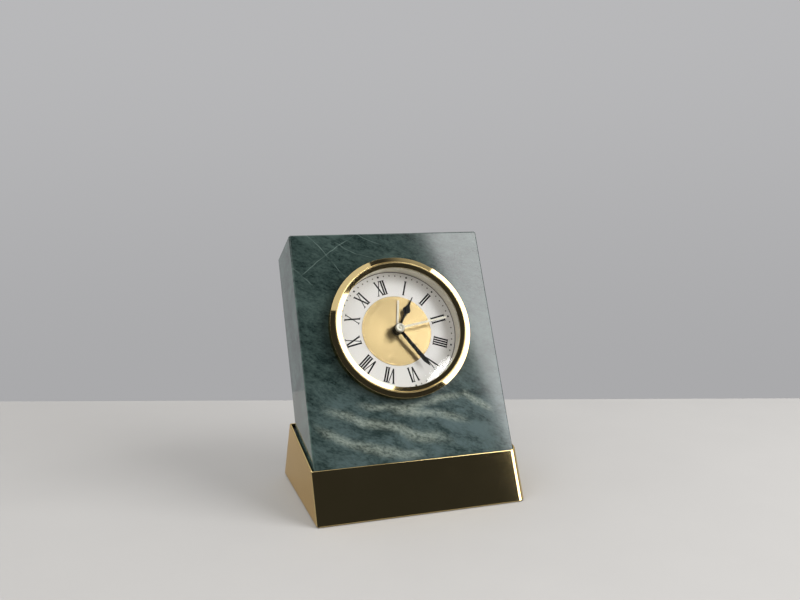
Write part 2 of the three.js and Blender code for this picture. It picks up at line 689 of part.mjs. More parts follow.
// Motor: stator plate round the rotor, core across its legs and the winding on the core
function statorGeometry() {
  const [x, y] = rotorAxis;
  const half = STATOR_HALF_SPAN;
  const bar = STATOR_BAR / 2;
  const shape = polygon([
    [x - half, y - bar], [x + half, y - bar],
    [x + half, y + STATOR_REACH], [x + half - STATOR_LEG, y + STATOR_REACH],
    [x + half - STATOR_LEG, y + bar], [x - half + STATOR_LEG, y + bar],
    [x - half + STATOR_LEG, y + STATOR_REACH], [x - half, y + STATOR_REACH],
  ]);
  const hole = new THREE.Path();
  hole.absarc(x, y, MAGNET_RADIUS + RUN_GAP, 0, 2 * Math.PI, true);
  shape.holes.push(hole);
  return plate(shape, statorBack, statorFront);
}

function coilGeometry() {
  const axisZ = coreBack + CORE_THICKNESS / 2;
  const half = COIL_LENGTH / 2;
  const winding = rod(COIL_RADIUS, -half, half, MEDIUM).rotateY(Math.PI / 2);
  winding.translate(rotorAxis[0], coilY, axisZ);
  const hole = block(
    rotorAxis[0] - COIL_LENGTH,
    rotorAxis[0] + COIL_LENGTH,
    coilY - CORE_WIDTH / 2 - LAYER_GAP,
    coilY + CORE_WIDTH / 2 + LAYER_GAP,
    coreBack - LAYER_GAP,
    coreBack + CORE_THICKNESS + LAYER_GAP,
  );
  return cut(winding, hole);
}

const coreGeometry = block(
  rotorAxis[0] - STATOR_HALF_SPAN,
  rotorAxis[0] + STATOR_HALF_SPAN,
  coilY - CORE_WIDTH / 2,
  coilY + CORE_WIDTH / 2,
  coreBack,
  coreBack + CORE_THICKNESS,
);

add(insert, 'stator', statorGeometry(), STEEL);
add(insert, 'coil_core', coreGeometry, STEEL);
add(insert, 'coil_winding', coilGeometry(), COPPER);

// Arbor between the case floor and the bridge, with a thin pivot at each end
function arbor() {
  const [low, high] = [bridgeFront + SEAT_GAP, floorBack - SEAT_GAP];
  return turned([
    [0, bridgeBack], [PIVOT_RADIUS, bridgeBack], [PIVOT_RADIUS, low], [ARBOR_RADIUS, low],
    [ARBOR_RADIUS, high], [PIVOT_RADIUS, high], [PIVOT_RADIUS, floorFront], [0, floorFront],
  ], SMALL);
}

function pinion(teeth, module, turn, level) {
  return gear(teeth, module, turn, level - PINION_OVERLAP, level + GEAR_THICKNESS + PINION_OVERLAP);
}

function wheel(teeth, module, turn, level) {
  return gear(teeth, module, turn, level, level + GEAR_THICKNESS);
}

// Rotor and going train
const intermediateTurn = 0;
const rotorTurn = meshedTurn(intermediateTurn, INTERMEDIATE_TEETH, ROTOR_PINION_TEETH, ROTOR_DIRECTION);
const secondTurn = 0;
const intermediatePinionTurn = meshedTurn(
  secondTurn, SECOND_TEETH, INTERMEDIATE_PINION_TEETH, INTERMEDIATE_DIRECTION,
);
const secondPinionTurn = 0;
const thirdTurn = meshedTurn(secondPinionTurn, SECOND_PINION_TEETH, THIRD_TEETH, THIRD_DIRECTION);
const centreTurn = 0;
const thirdPinionTurn = meshedTurn(centreTurn, CENTRE_TEETH, THIRD_PINION_TEETH, THIRD_DIRECTION);

const magnetMiddle = (statorFront + statorBack) / 2;
const magnet = rod(MAGNET_RADIUS, magnetMiddle - MAGNET_LENGTH / 2, magnetMiddle + MAGNET_LENGTH / 2, MEDIUM);
add(insert, 'rotor', at(
  join(arbor(), magnet, pinion(ROTOR_PINION_TEETH, ROTOR_MODULE, rotorTurn, intermediateLevel)),
  rotorAxis,
), STEEL);
add(insert, 'intermediate_wheel', at(join(
  arbor(),
  wheel(INTERMEDIATE_TEETH, ROTOR_MODULE, intermediateTurn, intermediateLevel),
  pinion(INTERMEDIATE_PINION_TEETH, INTERMEDIATE_MODULE, intermediatePinionTurn, secondLevel),
), intermediateAxis), WHITE_PLASTIC);
add(insert, 'third_wheel', at(join(
  arbor(),
  wheel(THIRD_TEETH, THIRD_MODULE, thirdTurn, thirdLevel),
  pinion(THIRD_PINION_TEETH, centreModule, thirdPinionTurn, centreLevel),
), thirdAxis), WHITE_PLASTIC);

// Hand levels in front of the dial
const alarmHandLevel = centreTop + LEVEL_GAP;
const hourHandLevel = alarmHandLevel + HAND_SPACING;
const minuteHandLevel = hourHandLevel + HAND_SPACING;
const secondHandLevel = minuteHandLevel + HAND_SPACING;

// Radii of the nested tubes
const cannonInner = ARBOR_RADIUS + RUN_GAP;
const cannonOuter = cannonInner + TUBE_WALL;
const hourTubeInner = cannonOuter + RUN_GAP;
const hourTubeOuter = hourTubeInner + TUBE_WALL;
const alarmTubeInner = hourTubeOuter + RUN_GAP;

// Second wheel: arbor through all the tubes to the second hand
const secondArbor = turned([
  [0, bridgeBack], [PIVOT_RADIUS, bridgeBack], [PIVOT_RADIUS, bridgeFront + SEAT_GAP],
  [ARBOR_RADIUS, bridgeFront + SEAT_GAP], [ARBOR_RADIUS, secondHandLevel], [0, secondHandLevel],
], SMALL);
add(insert, 'second_wheel', join(
  secondArbor,
  wheel(SECOND_TEETH, INTERMEDIATE_MODULE, secondTurn, secondLevel),
  pinion(SECOND_PINION_TEETH, THIRD_MODULE, secondPinionTurn, thirdLevel),
), WHITE_PLASTIC);

// Centre wheel: slips on the cannon pinion's tail
add(insert, 'centre_wheel', cut(
  wheel(CENTRE_TEETH, centreModule, centreTurn, centreLevel),
  rod(cannonOuter + LAYER_GAP, centreLevel - SEAT_GAP, centreLevel + GEAR_THICKNESS + SEAT_GAP),
), BRASS);

// Motion work: cannon pinion, minute work wheel and hour wheel
const cannonTurn = 0;
const minuteWorkTurn = meshedTurn(cannonTurn, CANNON_TEETH, MINUTE_WORK_TEETH, MINUTE_WORK_DIRECTION);
const hourTurn = 0;
const minuteWorkPinionTurn = meshedTurn(
  hourTurn,
  HOUR_TEETH,
  MINUTE_WORK_PINION_TEETH,
  MINUTE_WORK_DIRECTION,
);
const timeSetTurn = meshedTurn(minuteWorkTurn, MINUTE_WORK_TEETH, TIME_SET_TEETH, TIME_SET_DIRECTION);
const cannonTail = centreLevel - PINION_OVERLAP;

add(insert, 'cannon_pinion', cut(
  join(
    rod(cannonOuter, cannonTail, minuteHandLevel),
    pinion(CANNON_TEETH, MOTION_MODULE, cannonTurn, motionLevel),
  ),
  rod(cannonInner, cannonTail - SEAT_GAP, minuteHandLevel + SEAT_GAP),
), BRASS);

const pinionFront = hourLevel + GEAR_THICKNESS + PINION_OVERLAP;
add(insert, 'minute_work_wheel', at(cut(
  join(
    wheel(MINUTE_WORK_TEETH, MOTION_MODULE, minuteWorkTurn, motionLevel),
    gear(MINUTE_WORK_PINION_TEETH, hourModule, minuteWorkPinionTurn, motionLevel, pinionFront),
  ),
  rod(PIVOT_RADIUS + RUN_GAP / 2, motionLevel - SEAT_GAP, pinionFront + SEAT_GAP),
), minuteWorkAxis), WHITE_PLASTIC);

add(insert, 'hour_wheel', cut(
  join(
    rod(hourTubeOuter, hourLevel, hourHandLevel),
    wheel(HOUR_TEETH, hourModule, hourTurn, hourLevel),
  ),
  rod(hourTubeInner, hourLevel - SEAT_GAP, hourHandLevel + SEAT_GAP),
), WHITE_PLASTIC);

// Alarm wheel and the two setting arbors with their knobs
const alarmTurn = 0;
const alarmSetTurn = meshedTurn(alarmTurn, ALARM_TEETH, ALARM_SET_TEETH, ALARM_SET_DIRECTION);
const knobFront = coverBack - SEAT_GAP;
const knobBack = knobFront - KNOB_HEIGHT;
const shaftBack = knobFront - KNOB_HEIGHT / 2;

add(insert, 'alarm_wheel', cut(
  join(
    rod(alarmTubeOuter, alarmLevel, alarmHandLevel),
    wheel(ALARM_TEETH, ALARM_MODULE, alarmTurn, alarmLevel),
  ),
  rod(alarmTubeInner, alarmLevel - SEAT_GAP, alarmHandLevel + SEAT_GAP),
), WHITE_PLASTIC);

add(insert, 'alarm_set_arbor', at(join(
  rod(SHAFT_RADIUS, shaftBack, alarmLevel),
  wheel(ALARM_SET_TEETH, ALARM_MODULE, alarmSetTurn, alarmLevel),
), alarmSetAxis), WHITE_PLASTIC);

add(insert, 'time_set_arbor', at(join(
  rod(SHAFT_RADIUS, shaftBack, motionLevel),
  pinion(TIME_SET_TEETH, MOTION_MODULE, timeSetTurn, motionLevel),
), timeSetAxis), WHITE_PLASTIC);

// Knob: fluted disc with a blind socket for its shaft
function knobGeometry() {
  const points = [];
  for (let i = 0; i < 2 * KNOB_GROOVES; i += 1) {
    const radius = KNOB_RADIUS - (i % 2) * KNOB_GROOVE_DEPTH;
    points.push(polar(radius, Math.PI * i / KNOB_GROOVES));
  }
  const body = plate(polygon(points), knobBack, knobFront);
  return cut(body, rod(SHAFT_RADIUS + LAYER_GAP, shaftBack - LAYER_GAP, knobFront + SEAT_GAP));
}

add(insert, 'time_set_knob', at(knobGeometry(), timeSetAxis), BLACK_PLASTIC);
add(insert, 'alarm_set_knob', at(knobGeometry(), alarmSetAxis), BLACK_PLASTIC);

// Hands: flat blades on hubs, drawn along +Y and turned to the time shown
function hand(blade, level, hubInner, hubOuter, hubHeight, angle) {
  const hub = rod(hubOuter, level, level + hubHeight, MEDIUM);
  const solid = join(hub, plate(blade, level, level + HAND_THICKNESS));
  const hole = rod(hubInner, level - SEAT_GAP, level + hubHeight + SEAT_GAP);
  return cut(solid, hole).rotateZ(-angle);
}

function hourBlade() {
  const stem = HOUR_STEM / 2;
  const spade = HOUR_SPADE_WIDTH / 2;
  const start = HOUR_SPADE_START;
  const shape = new THREE.Shape();
  shape.moveTo(stem, 0);
  shape.lineTo(stem, start);
  shape.quadraticCurveTo(spade, start, spade, start + spade);
  shape.quadraticCurveTo(spade, start + 2 * spade, stem / 2, start + 3 * spade);
  shape.lineTo(stem / 2, HOUR_LENGTH);
  shape.lineTo(-stem / 2, HOUR_LENGTH);
  shape.lineTo(-stem / 2, start + 3 * spade);
  shape.quadraticCurveTo(-spade, start + 2 * spade, -spade, start + spade);
  shape.quadraticCurveTo(-spade, start, -stem, start);
  shape.lineTo(-stem, 0);
  return shape;
}

const minuteBlade = polygon([
  [MINUTE_STEM / 2, 0], [MINUTE_WIDTH / 2, MINUTE_SHOULDER], [0, MINUTE_LENGTH],
  [-MINUTE_WIDTH / 2, MINUTE_SHOULDER], [-MINUTE_STEM / 2, 0],
]);
const straightBlade = (half, length) => polygon([[half, 0], [half, length], [-half, length], [-half, 0]]);
const secondBlade = straightBlade(SECOND_WIDTH / 2, SECOND_LENGTH);
const alarmBlade = straightBlade(ALARM_WIDTH / 2, ALARM_LENGTH);

const fullTurn = 2 * Math.PI;
const [shownHour, shownMinute, shownSecond] = SHOWN_TIME;
const [alarmHour, alarmMinute] = ALARM_TIME;
const minutes = shownMinute + shownSecond / 60;
const hourAngle = fullTurn * (shownHour + minutes / 60) / 12;
const minuteAngle = fullTurn * minutes / 60;
const secondAngle = fullTurn * shownSecond / 60;
const alarmAngle = fullTurn * (alarmHour + alarmMinute / 60) / 12;
const hubHeight = HAND_SPACING - SEAT_GAP;

function pressedHand(blade, level, tubeInner, angle) {
  return hand(blade, level + LAYER_GAP, tubeInner, HUB_RADIUS, hubHeight, angle);
}

add(insert, 'alarm_hand', pressedHand(alarmBlade, alarmHandLevel, alarmTubeInner, alarmAngle), HAND_CREAM);
add(insert, 'hour_hand', pressedHand(hourBlade(), hourHandLevel, hourTubeInner, hourAngle), HAND_BLACK);
add(insert, 'minute_hand', pressedHand(minuteBlade, minuteHandLevel, cannonInner, minuteAngle), HAND_BLACK);

function secondHandGeometry() {
  const foot = secondHandLevel + LAYER_GAP;
  const dome = new THREE.QuadraticBezierCurve(
    new THREE.Vector2(CAP_RADIUS, foot + CAP_HEIGHT / 2),
    new THREE.Vector2(CAP_RADIUS, foot + CAP_HEIGHT),
    new THREE.Vector2(0, foot + CAP_HEIGHT),
  ).getPoints(4).map(({ x, y }) => [x, y]);
  const cap = turned([[0, foot], [CAP_RADIUS, foot], ...dome], MEDIUM);
  const blade = plate(secondBlade, foot, foot + HAND_THICKNESS);
  return join(cap, blade).rotateZ(-secondAngle);
}

add(insert, 'second_hand', secondHandGeometry(), HAND_CREAM);

// Electrics: board, crystal, buzzer, battery, contacts and door
const boardFront = bridgeBack - BOARD_STANDOFF - SEAT_GAP;
const boardBack = boardFront - BOARD_THICKNESS;
const boardGeometry = block(BOARD_LEFT, BOARD_RIGHT, BOARD_LOW, BOARD_HIGH, boardBack, boardFront);
add(insert, 'circuit_board', boardGeometry, BOARD_GREEN);

const crystal = rod(CRYSTAL_RADIUS, -CRYSTAL_LENGTH / 2, CRYSTAL_LENGTH / 2).rotateY(Math.PI / 2);
crystal.translate(CRYSTAL_AT[0], CRYSTAL_AT[1], boardBack - SEAT_GAP - CRYSTAL_RADIUS);
add(insert, 'crystal_can', crystal, STEEL);

const buzzerFoot = coverFront + SEAT_GAP;
const buzzer = rod(BUZZER_RADIUS, buzzerFoot, buzzerFoot + BUZZER_HEIGHT, MEDIUM);
add(insert, 'buzzer', at(buzzer, BUZZER_AT), BLACK_PLASTIC);

function alongBattery(geometry) {
  return geometry.rotateY(Math.PI / 2).translate(0, BATTERY_AXIS_Y, batteryAxisZ);
}

add(insert, 'battery', alongBattery(turned([
  [0, -batteryEnd], [BATTERY_RADIUS, -batteryEnd], [BATTERY_RADIUS, batteryEnd],
  [BATTERY_BUTTON_RADIUS, batteryEnd], [BATTERY_BUTTON_RADIUS, batteryEnd + BATTERY_BUTTON],
  [0, batteryEnd + BATTERY_BUTTON],
], MEDIUM)), BATTERY_GREY);

const contactHalf = CONTACT_SIZE / 2;
const contactOuter = bayEnd - SEAT_GAP;
const contactInner = contactOuter - CONTACT_THICKNESS;
const [contactLow, contactHigh] = [BATTERY_AXIS_Y - contactHalf, BATTERY_AXIS_Y + contactHalf];
const [contactBack, contactFront] = [batteryAxisZ - contactHalf, batteryAxisZ + contactHalf];
const positive = block(contactInner, contactOuter, contactLow, contactHigh, contactBack, contactFront);
const negativePlate = block(-contactOuter, -contactInner, contactLow, contactHigh, contactBack, contactFront);
const springTip = batteryEnd + SEAT_GAP;
const spring = alongBattery(turned([
  [0, -contactInner - CONTACT_THICKNESS / 2], [contactHalf - SEAT_GAP, -contactInner - CONTACT_THICKNESS / 2],
  [contactHalf / 2, -springTip], [0, -springTip],
], SMALL));
add(insert, 'contact_positive', positive, STEEL);
add(insert, 'contact_negative', join(negativePlate, spring), STEEL);

// Battery door: flush panel with a finger scoop
const doorHalf = DOOR_LENGTH / 2;
const scoop = block(
  -DOOR_GRIP_WIDTH / 2,
  DOOR_GRIP_WIDTH / 2,
  doorHigh - DOOR_WIDTH / 4,
  doorHigh + SEAT_GAP,
  coverBack - SEAT_GAP,
  coverBack + DOOR_GRIP_DEPTH,
);
const doorPanel = block(-doorHalf, doorHalf, doorLow, doorHigh, coverBack, coverFront);
add(insert, 'battery_door', cut(doorPanel, scoop), BLACK_PLASTIC);

// Alarm switch: plate inside the cover with a nub through the slot
const [switchX, switchY] = SWITCH_AT;
const switchFoot = coverFront + SEAT_GAP;
const nub = block(
  switchX - SWITCH_NUB / 2,
  switchX + SWITCH_NUB / 2,
  switchY - SWITCH_NUB / 2,
  switchY + SWITCH_NUB / 2,
  coverBack - SWITCH_PROUD,
  switchFoot + SWITCH_PLATE_THICKNESS / 2,
);
const switchPlate = block(
  switchX - SWITCH_PLATE / 2,
  switchX + SWITCH_PLATE / 2,
  switchY - SWITCH_PLATE / 4,
  switchY + SWITCH_PLATE / 4,
  switchFoot,
  switchFoot + SWITCH_PLATE_THICKNESS,
);
add(insert, 'alarm_switch', join(nub, switchPlate), WHITE_PLASTIC);

export default clock;
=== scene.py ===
# %% [markdown]
# # A marble table clock
# A polished green stone block leans back in a gold sheet-metal base, and a round alarm clock is pushed
# into a bore in its face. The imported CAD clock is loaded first, as a fixed frame in metres with +Z up.
# Everything below is then modelled in that same frame, so no piece has to be fitted by eye.

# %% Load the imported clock
import json
import math

import bpy
from mathutils import Matrix, Vector

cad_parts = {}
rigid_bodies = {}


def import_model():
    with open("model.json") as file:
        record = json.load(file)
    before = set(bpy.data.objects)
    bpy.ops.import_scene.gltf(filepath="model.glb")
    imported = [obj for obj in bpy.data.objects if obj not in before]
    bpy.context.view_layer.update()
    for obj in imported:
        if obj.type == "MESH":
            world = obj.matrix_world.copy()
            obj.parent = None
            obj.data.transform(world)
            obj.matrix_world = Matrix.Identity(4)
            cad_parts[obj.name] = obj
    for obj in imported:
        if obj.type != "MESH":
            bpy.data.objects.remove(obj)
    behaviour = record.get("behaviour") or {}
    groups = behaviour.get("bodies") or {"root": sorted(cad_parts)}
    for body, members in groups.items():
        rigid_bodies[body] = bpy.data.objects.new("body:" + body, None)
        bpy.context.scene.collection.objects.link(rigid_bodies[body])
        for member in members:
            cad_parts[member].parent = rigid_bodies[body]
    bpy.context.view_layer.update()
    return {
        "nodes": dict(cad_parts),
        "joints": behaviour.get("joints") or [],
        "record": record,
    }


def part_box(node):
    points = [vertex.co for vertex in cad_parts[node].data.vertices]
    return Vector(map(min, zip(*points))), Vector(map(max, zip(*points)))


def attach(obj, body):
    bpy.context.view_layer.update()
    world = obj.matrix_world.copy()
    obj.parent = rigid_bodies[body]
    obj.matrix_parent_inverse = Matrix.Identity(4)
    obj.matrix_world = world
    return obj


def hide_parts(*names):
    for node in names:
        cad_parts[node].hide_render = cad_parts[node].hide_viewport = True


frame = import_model()
MM = 0.001

# %% [markdown]
# ## Where the dial sits
# The dial faces forwards and up, so its pieces are easier to model lying flat, with the dial's centre at
# the world origin and Z pointing out of the dial. The joint that turns the insert gives that centre and
# that direction. FACE carries a flat piece onto the stone, and DIAL turns it by the small angle at which
# the clock was pushed in as well.

# %% Frames of the stone face and of the dial
insert_joint = next(joint for joint in frame["joints"] if joint["name"] == "insert_turn")
face_centre = Vector(insert_joint["pos_m"])
face_out = Vector(insert_joint["axis"])
face_across = Vector((1, 0, 0))
face_up = face_out.cross(face_across)
FACE = Matrix.Translation(face_centre) @ Matrix((face_across, face_up, face_out)).transposed().to_4x4()
INSERT_TURN = math.radians(12)
DIAL = FACE @ Matrix.Rotation(INSERT_TURN, 4, "Z")
LEAN = math.atan2(face_up.y, face_up.z)
print("face centre:", face_centre, "lean in degrees:", round(math.degrees(LEAN), 2))


def flat_box(node, place=DIAL):
    """Lowest and highest corner of a CAD node, measured along the dial's own axes."""
    back = place.inverted()
    points = [back @ vertex.co for vertex in frame["nodes"][node].data.vertices]
    return [Vector(pick(point[i] for point in points) for i in range(3)) for pick in (min, max)]


# %% [markdown]
# ## The camera
# The lens and the camera's place were worked out from the corners of the base and the stone and from the
# rings of the bezel in the photograph. The three axes of the camera go straight into its matrix.

# %% Camera
FOCAL_LENGTH = 37.842
CAMERA_PLACE = Vector((-0.161844, -0.498631, 0.189835))
camera_data = bpy.data.cameras.new("camera")
camera_data.lens = FOCAL_LENGTH
camera = bpy.data.objects.new("camera", camera_data)
bpy.context.scene.collection.objects.link(camera)
bpy.context.scene.camera = camera
look_right = Vector((0.94902514, -0.31517518, -0.00398672))
look_up = Vector((0.04582269, 0.12544094, 0.99104231))
look_back = look_right.cross(look_up)
camera_axes = Matrix((look_right, look_up, look_back)).transposed()
camera.matrix_world = Matrix.Translation(CAMERA_PLACE) @ camera_axes.to_4x4()
print("camera at", [round(value, 3) for value in camera.location])

# %% [markdown]
# ## Drawing outlines and turning profiles
# Most pieces of a clock are either cut from sheet or turned on a lathe. Both start in the same way here:
# a tiny plane is merged to a single vertex, which is extruded from point to point like a pen. A closed
# line can be filled and extruded up into a plate, and a cross-section can be spun round the dial's axis.


# %% Pen, plate and lathe
WELD = 1e-7
NEAR_AXIS = 1e-6


def start_piece(name):
    """A new mesh object with one vertex at the origin, in edit mode."""
    bpy.ops.object.select_all(action="DESELECT")
    bpy.ops.mesh.primitive_plane_add(size=MM)
    piece = bpy.context.object
    piece.name = piece.data.name = name
    bpy.ops.object.mode_set(mode="EDIT")
    bpy.ops.mesh.select_mode(type="VERT")
    bpy.ops.mesh.merge(type="CENTER")
    return piece


def draw_line(points):
    """Extrude the one selected vertex, which is at the origin, along the points."""
    bpy.ops.transform.translate(value=points[0])
    for start, end in zip(points, points[1:]):
        bpy.ops.mesh.extrude_region_move(TRANSFORM_OT_translate={"value": Vector(end) - Vector(start)})


def close_line(points):
    """Join the drawn line's end to its start and select the loop."""
    step = Vector(points[0]) - Vector(points[-1])
    bpy.ops.mesh.extrude_region_move(TRANSFORM_OT_translate={"value": step})
    bpy.ops.mesh.select_linked()
    bpy.ops.mesh.remove_doubles(threshold=WELD)


def add_plate(points, low, high):
    """In edit mode: fill the outline of (x, y) points at a height and extrude it up to another."""
    corners = [(x, y, low) for x, y in points]
    draw_line(corners)
    close_line(corners)
    bpy.ops.mesh.edge_face_add()
    bpy.ops.mesh.extrude_region_move(TRANSFORM_OT_translate={"value": (0, 0, high - low)})


def true_up():
    """Merge doubles, turn all faces outwards and go back to object mode."""
    bpy.ops.mesh.select_all(action="SELECT")
    bpy.ops.mesh.remove_doubles(threshold=WELD)
    bpy.ops.mesh.normals_make_consistent(inside=False)
    bpy.ops.object.mode_set(mode="OBJECT")


def plate_group(name, outlines, low, high):
    """One piece of several plates, each started from a new vertex at the origin."""
    piece = start_piece(name)
    bpy.ops.mesh.delete(type="VERT")
    for outline in outlines:
        bpy.ops.mesh.primitive_plane_add(size=MM)
        bpy.ops.mesh.merge(type="CENTER")
        add_plate(outline, low, high)
    true_up()
    return piece


def rectangle(left, right, low, high):
    """Corners of a rectangle, as an outline or as a section to turn."""
    return [(left, low), (right, low), (right, high), (left, high)]


def turn_profile(name, points, steps=128, corner=0.0, segments=3):
    """Spin a closed cross-section of (radius, height) points round Z, with its corners rounded first."""
    piece = start_piece(name)
    section = [(radius, 0, height) for radius, height in points]
    draw_line(section)
    close_line(section)
    if corner:
        bpy.ops.object.mode_set(mode="OBJECT")
        for vertex in piece.data.vertices:
            vertex.select = vertex.co.x > NEAR_AXIS
        bpy.ops.object.mode_set(mode="EDIT")
        bpy.ops.mesh.bevel(offset=corner, segments=segments, affect="VERTICES")
    bpy.ops.mesh.select_all(action="SELECT")
    bpy.ops.mesh.spin(steps=steps, angle=2 * math.pi, center=(0, 0, 0), axis=(0, 0, 1))
    true_up()
    return piece


# %% [markdown]
# ## Selecting by place, and finishing a piece
# An operator works on whatever is selected, so edges and faces are picked by a test on where they are. A
# finished piece is carried to its place, its place is written into its mesh, and it is tied to the CAD
# body that it moves with.


# %% Select, apply and settle
SMOOTH_ANGLE = math.radians(32)


def clear_selection(mesh, edges=False, faces=False):
    """In object mode: select nothing of a mesh, ready to select by edge or by face."""
    bpy.ops.object.mode_set(mode="OBJECT")
    bpy.context.tool_settings.mesh_select_mode = (False, edges, faces)
    for items in (mesh.vertices, mesh.edges, mesh.polygons):
        items.foreach_set("select", [False] * len(items))


def select_edges(piece, test):
    """Select the edges whose two ends pass a test, and go to edit mode."""
    mesh = piece.data
    clear_selection(mesh, edges=True)
    for edge in mesh.edges:
        ends = [mesh.vertices[i] for i in edge.vertices]
        if test(*(end.co for end in ends)):
            edge.select = ends[0].select = ends[1].select = True
    bpy.ops.object.mode_set(mode="EDIT")


def select_faces(piece, test):
    """Select the faces whose centre and normal pass a test, and go to edit mode."""
    clear_selection(piece.data, faces=True)
    for face in piece.data.polygons:
        face.select = test(face.center, face.normal)
    bpy.ops.object.mode_set(mode="EDIT")


def make_active(piece):
    """Select one object alone."""
    bpy.ops.object.select_all(action="DESELECT")
    piece.select_set(True)
    bpy.context.view_layer.objects.active = piece


def use_modifier(piece, kind, **settings):
    """Add a modifier and apply it straight away."""
    make_active(piece)
    modifier = piece.modifiers.new(kind.lower(), kind)
    for name, value in settings.items():
        setattr(modifier, name, value)
    bpy.ops.object.modifier_apply(modifier=modifier.name)


def break_edges(piece, width, least_angle):
    """Bevel every edge that is sharper than an angle in degrees."""
    sharp = {"limit_method": "ANGLE", "angle_limit": math.radians(least_angle)}
    use_modifier(piece, "BEVEL", width=width, segments=2, **sharp)


def settle(piece, place, finish, body, slot, *nodes):
    """Carry a finished piece to its place, keep that in its mesh, and tie it to the clock."""
    make_active(piece)
    bpy.ops.object.shade_smooth_by_angle(angle=SMOOTH_ANGLE)
    use_modifier(piece, "WEIGHTED_NORMAL", keep_sharp=True, weight=100)
    piece.matrix_world = place
    bpy.ops.object.transform_apply(location=True, rotation=True, scale=True)
    piece.data.materials.clear()
    piece.data.materials.append(finish)
    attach(piece, body)
    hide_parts(*nodes)
    print(piece.name, "faces:", len(piece.data.polygons), "on", body, "for", nodes)


# %% [markdown]
# ## Writing shaders as sums
# A material's pattern is arithmetic on coordinates. This class wraps one socket, so that sums such as
# 1 - mask can be written in Python and add their Math nodes by themselves.


# %% A socket that can be used in sums
class Wire:
    """An output socket of a node tree, usable in arithmetic."""

    def __init__(self, tree, socket):
        self.tree = tree
        self.socket = socket

    def node(self, kind, settings=None, inputs=None, output=0):
        """Add a shader node: settings first, then values or links for its inputs."""
        node = self.tree.nodes.new("ShaderNode" + kind)
        for name, value in (settings or {}).items():
            setattr(node, name, value)
        for name, value in (inputs or {}).items():
            if isinstance(value, Wire):
                self.tree.links.new(value.socket, node.inputs[name])
            else:
                node.inputs[name].default_value = value
        return Wire(self.tree, node.outputs[output])

    def math(self, operation, first, second=0.0):
        return self.node("Math", {"operation": operation}, {0: first, 1: second})

    def __add__(self, other):
        return self.math("ADD", self, other)

    def __sub__(self, other):
        return self.math("SUBTRACT", self, other)

    def __rsub__(self, other):
        return self.math("SUBTRACT", other, self)

    def __mul__(self, other):
        return self.math("MULTIPLY", self, other)

    def __truediv__(self, other):
        return self.math("DIVIDE", self, other)

    def __abs__(self):
        return self.math("ABSOLUTE", self)

    __radd__ = __add__


def noise(where, scale, detail=4.0, roughness=0.5, output=0):
    """Soft noise at a number of lumps per metre, about 0.5 on average."""
    settings = {"Vector": where, "Scale": scale, "Detail": detail, "Roughness": roughness}
    return where.node("TexNoise", None, settings, output)


def ramp(value, low, high, start=0.0, end=1.0):
    """A smooth step of a value, from start below low to end above high."""
    limits = {"Value": value, "From Min": low, "From Max": high, "To Min": start, "To Max": end}
    return value.node("MapRange", {"interpolation_type": "SMOOTHSTEP"}, limits)


def blend_colours(share, first, second):
    """Mix two colours; share 0 gives the first."""
    return share.node("Mix", {"data_type": "RGBA"}, {0: share, 6: first, 7: second}, 2)


def bumps(height, depth, width=0.1):
    """A normal from a height between 0 and 1, over a depth in metres and a width in pixels."""
    return height.node("Bump", None, {"Height": height, "Distance": depth, "Filter Width": width})


def new_finish(name, constants=None):
    """A material, its shader and its object coordinates. Constants go on the shader's own sockets."""
    material = bpy.data.materials.new(name)
    material.use_nodes = True
    shader = material.node_tree.nodes["Principled BSDF"]
    for socket, value in (constants or {}).items():
        shader.inputs[socket].default_value = value
    coordinates = material.node_tree.nodes.new("ShaderNodeTexCoord")
    return material, shader, Wire(material.node_tree, coordinates.outputs["Object"])


def feed(shader, **wires):
    """Link wires to the shader's sockets."""
    for socket, wire in wires.items():
        wire.tree.links.new(wire.socket, shader.inputs[socket.replace("_", " ").title()])


def lay_flat(where, place):
    """Coordinates in a piece's own flat frame, which centres and turns a pattern on it."""
    inputs = {"Vector": where, "Location": place.to_translation(), "Rotation": place.to_euler()}
    return where.node("Mapping", {"vector_type": "TEXTURE"}, inputs)


def stretch(where, x, y, z):
    """Scale coordinates, so that a pattern is drawn out along an axis."""
    return where.node("VectorMath", {"operation": "MULTIPLY"}, {0: where, 1: (x, y, z)})


# %% [markdown]
# ## Green marble
# The stone is dark green with cloudy pale bands across its lower half, fine straight veins that cross at
# the upper left, a paler left side, dark specks and a high polish. Real marble runs right through the
# block, so its pattern is three-dimensional noise in the stone's own frame: one noise pushes the
# coordinates about, and the others are read at the pushed place. Bands and veins run through the stone
# too. Each is listed with its start, its end, its sag and its width, in mm from the dial's centre.


# %% Marble finish
GRAIN_TURN = math.radians(-24)
PALE_BANDS = [
    ((-50, -46.5), (20, -71), -1, 5.2),
    ((-56, -58.5), (3, -77), -4, 5.0),
    ((-29, -44.5), (36, -43.5), -4, 3.6),
    ((-12, -50), (34, -61), 1.5, 4.2),
    ((35, -44), (54, -53.5), 0, 4.2),
]
CLEAR_VEINS = [((-56, 64.5), (-28, 32), 0, 0.42), ((-58, 37), (-22, 63), 0, 0.36)]
FAINT_VEINS = [
    ((-34, 57), (-10, 44), 0, 0.45),
    ((-64, 44), (-50, 31), 0, 0.45),
    ((-22, 64), (-4, 56), 0, 0.40),
]


def stone_streak(x, y, start, end, sag, width):
    """Mask of a soft band from one point of the stone's face to another, in mm, sagging in the middle."""
    (x0, y0), (x1, y1) = start, end
    along = (x / MM - x0) / (x1 - x0)
    middle = y0 + along * (y1 - y0) + along * (1 - along) * (4 * sag)
    across = abs(y / MM - middle)
    return ramp(across, 0.0, width, 1.0, 0.0) * ramp(along, -0.12, 0.15) * ramp(along, 1.12, 0.80)


def all_streaks(x, y, lines):
    """The sum of several bands."""
    masks = [stone_streak(x, y, *line) for line in lines]
    return sum(masks[1:], masks[0])


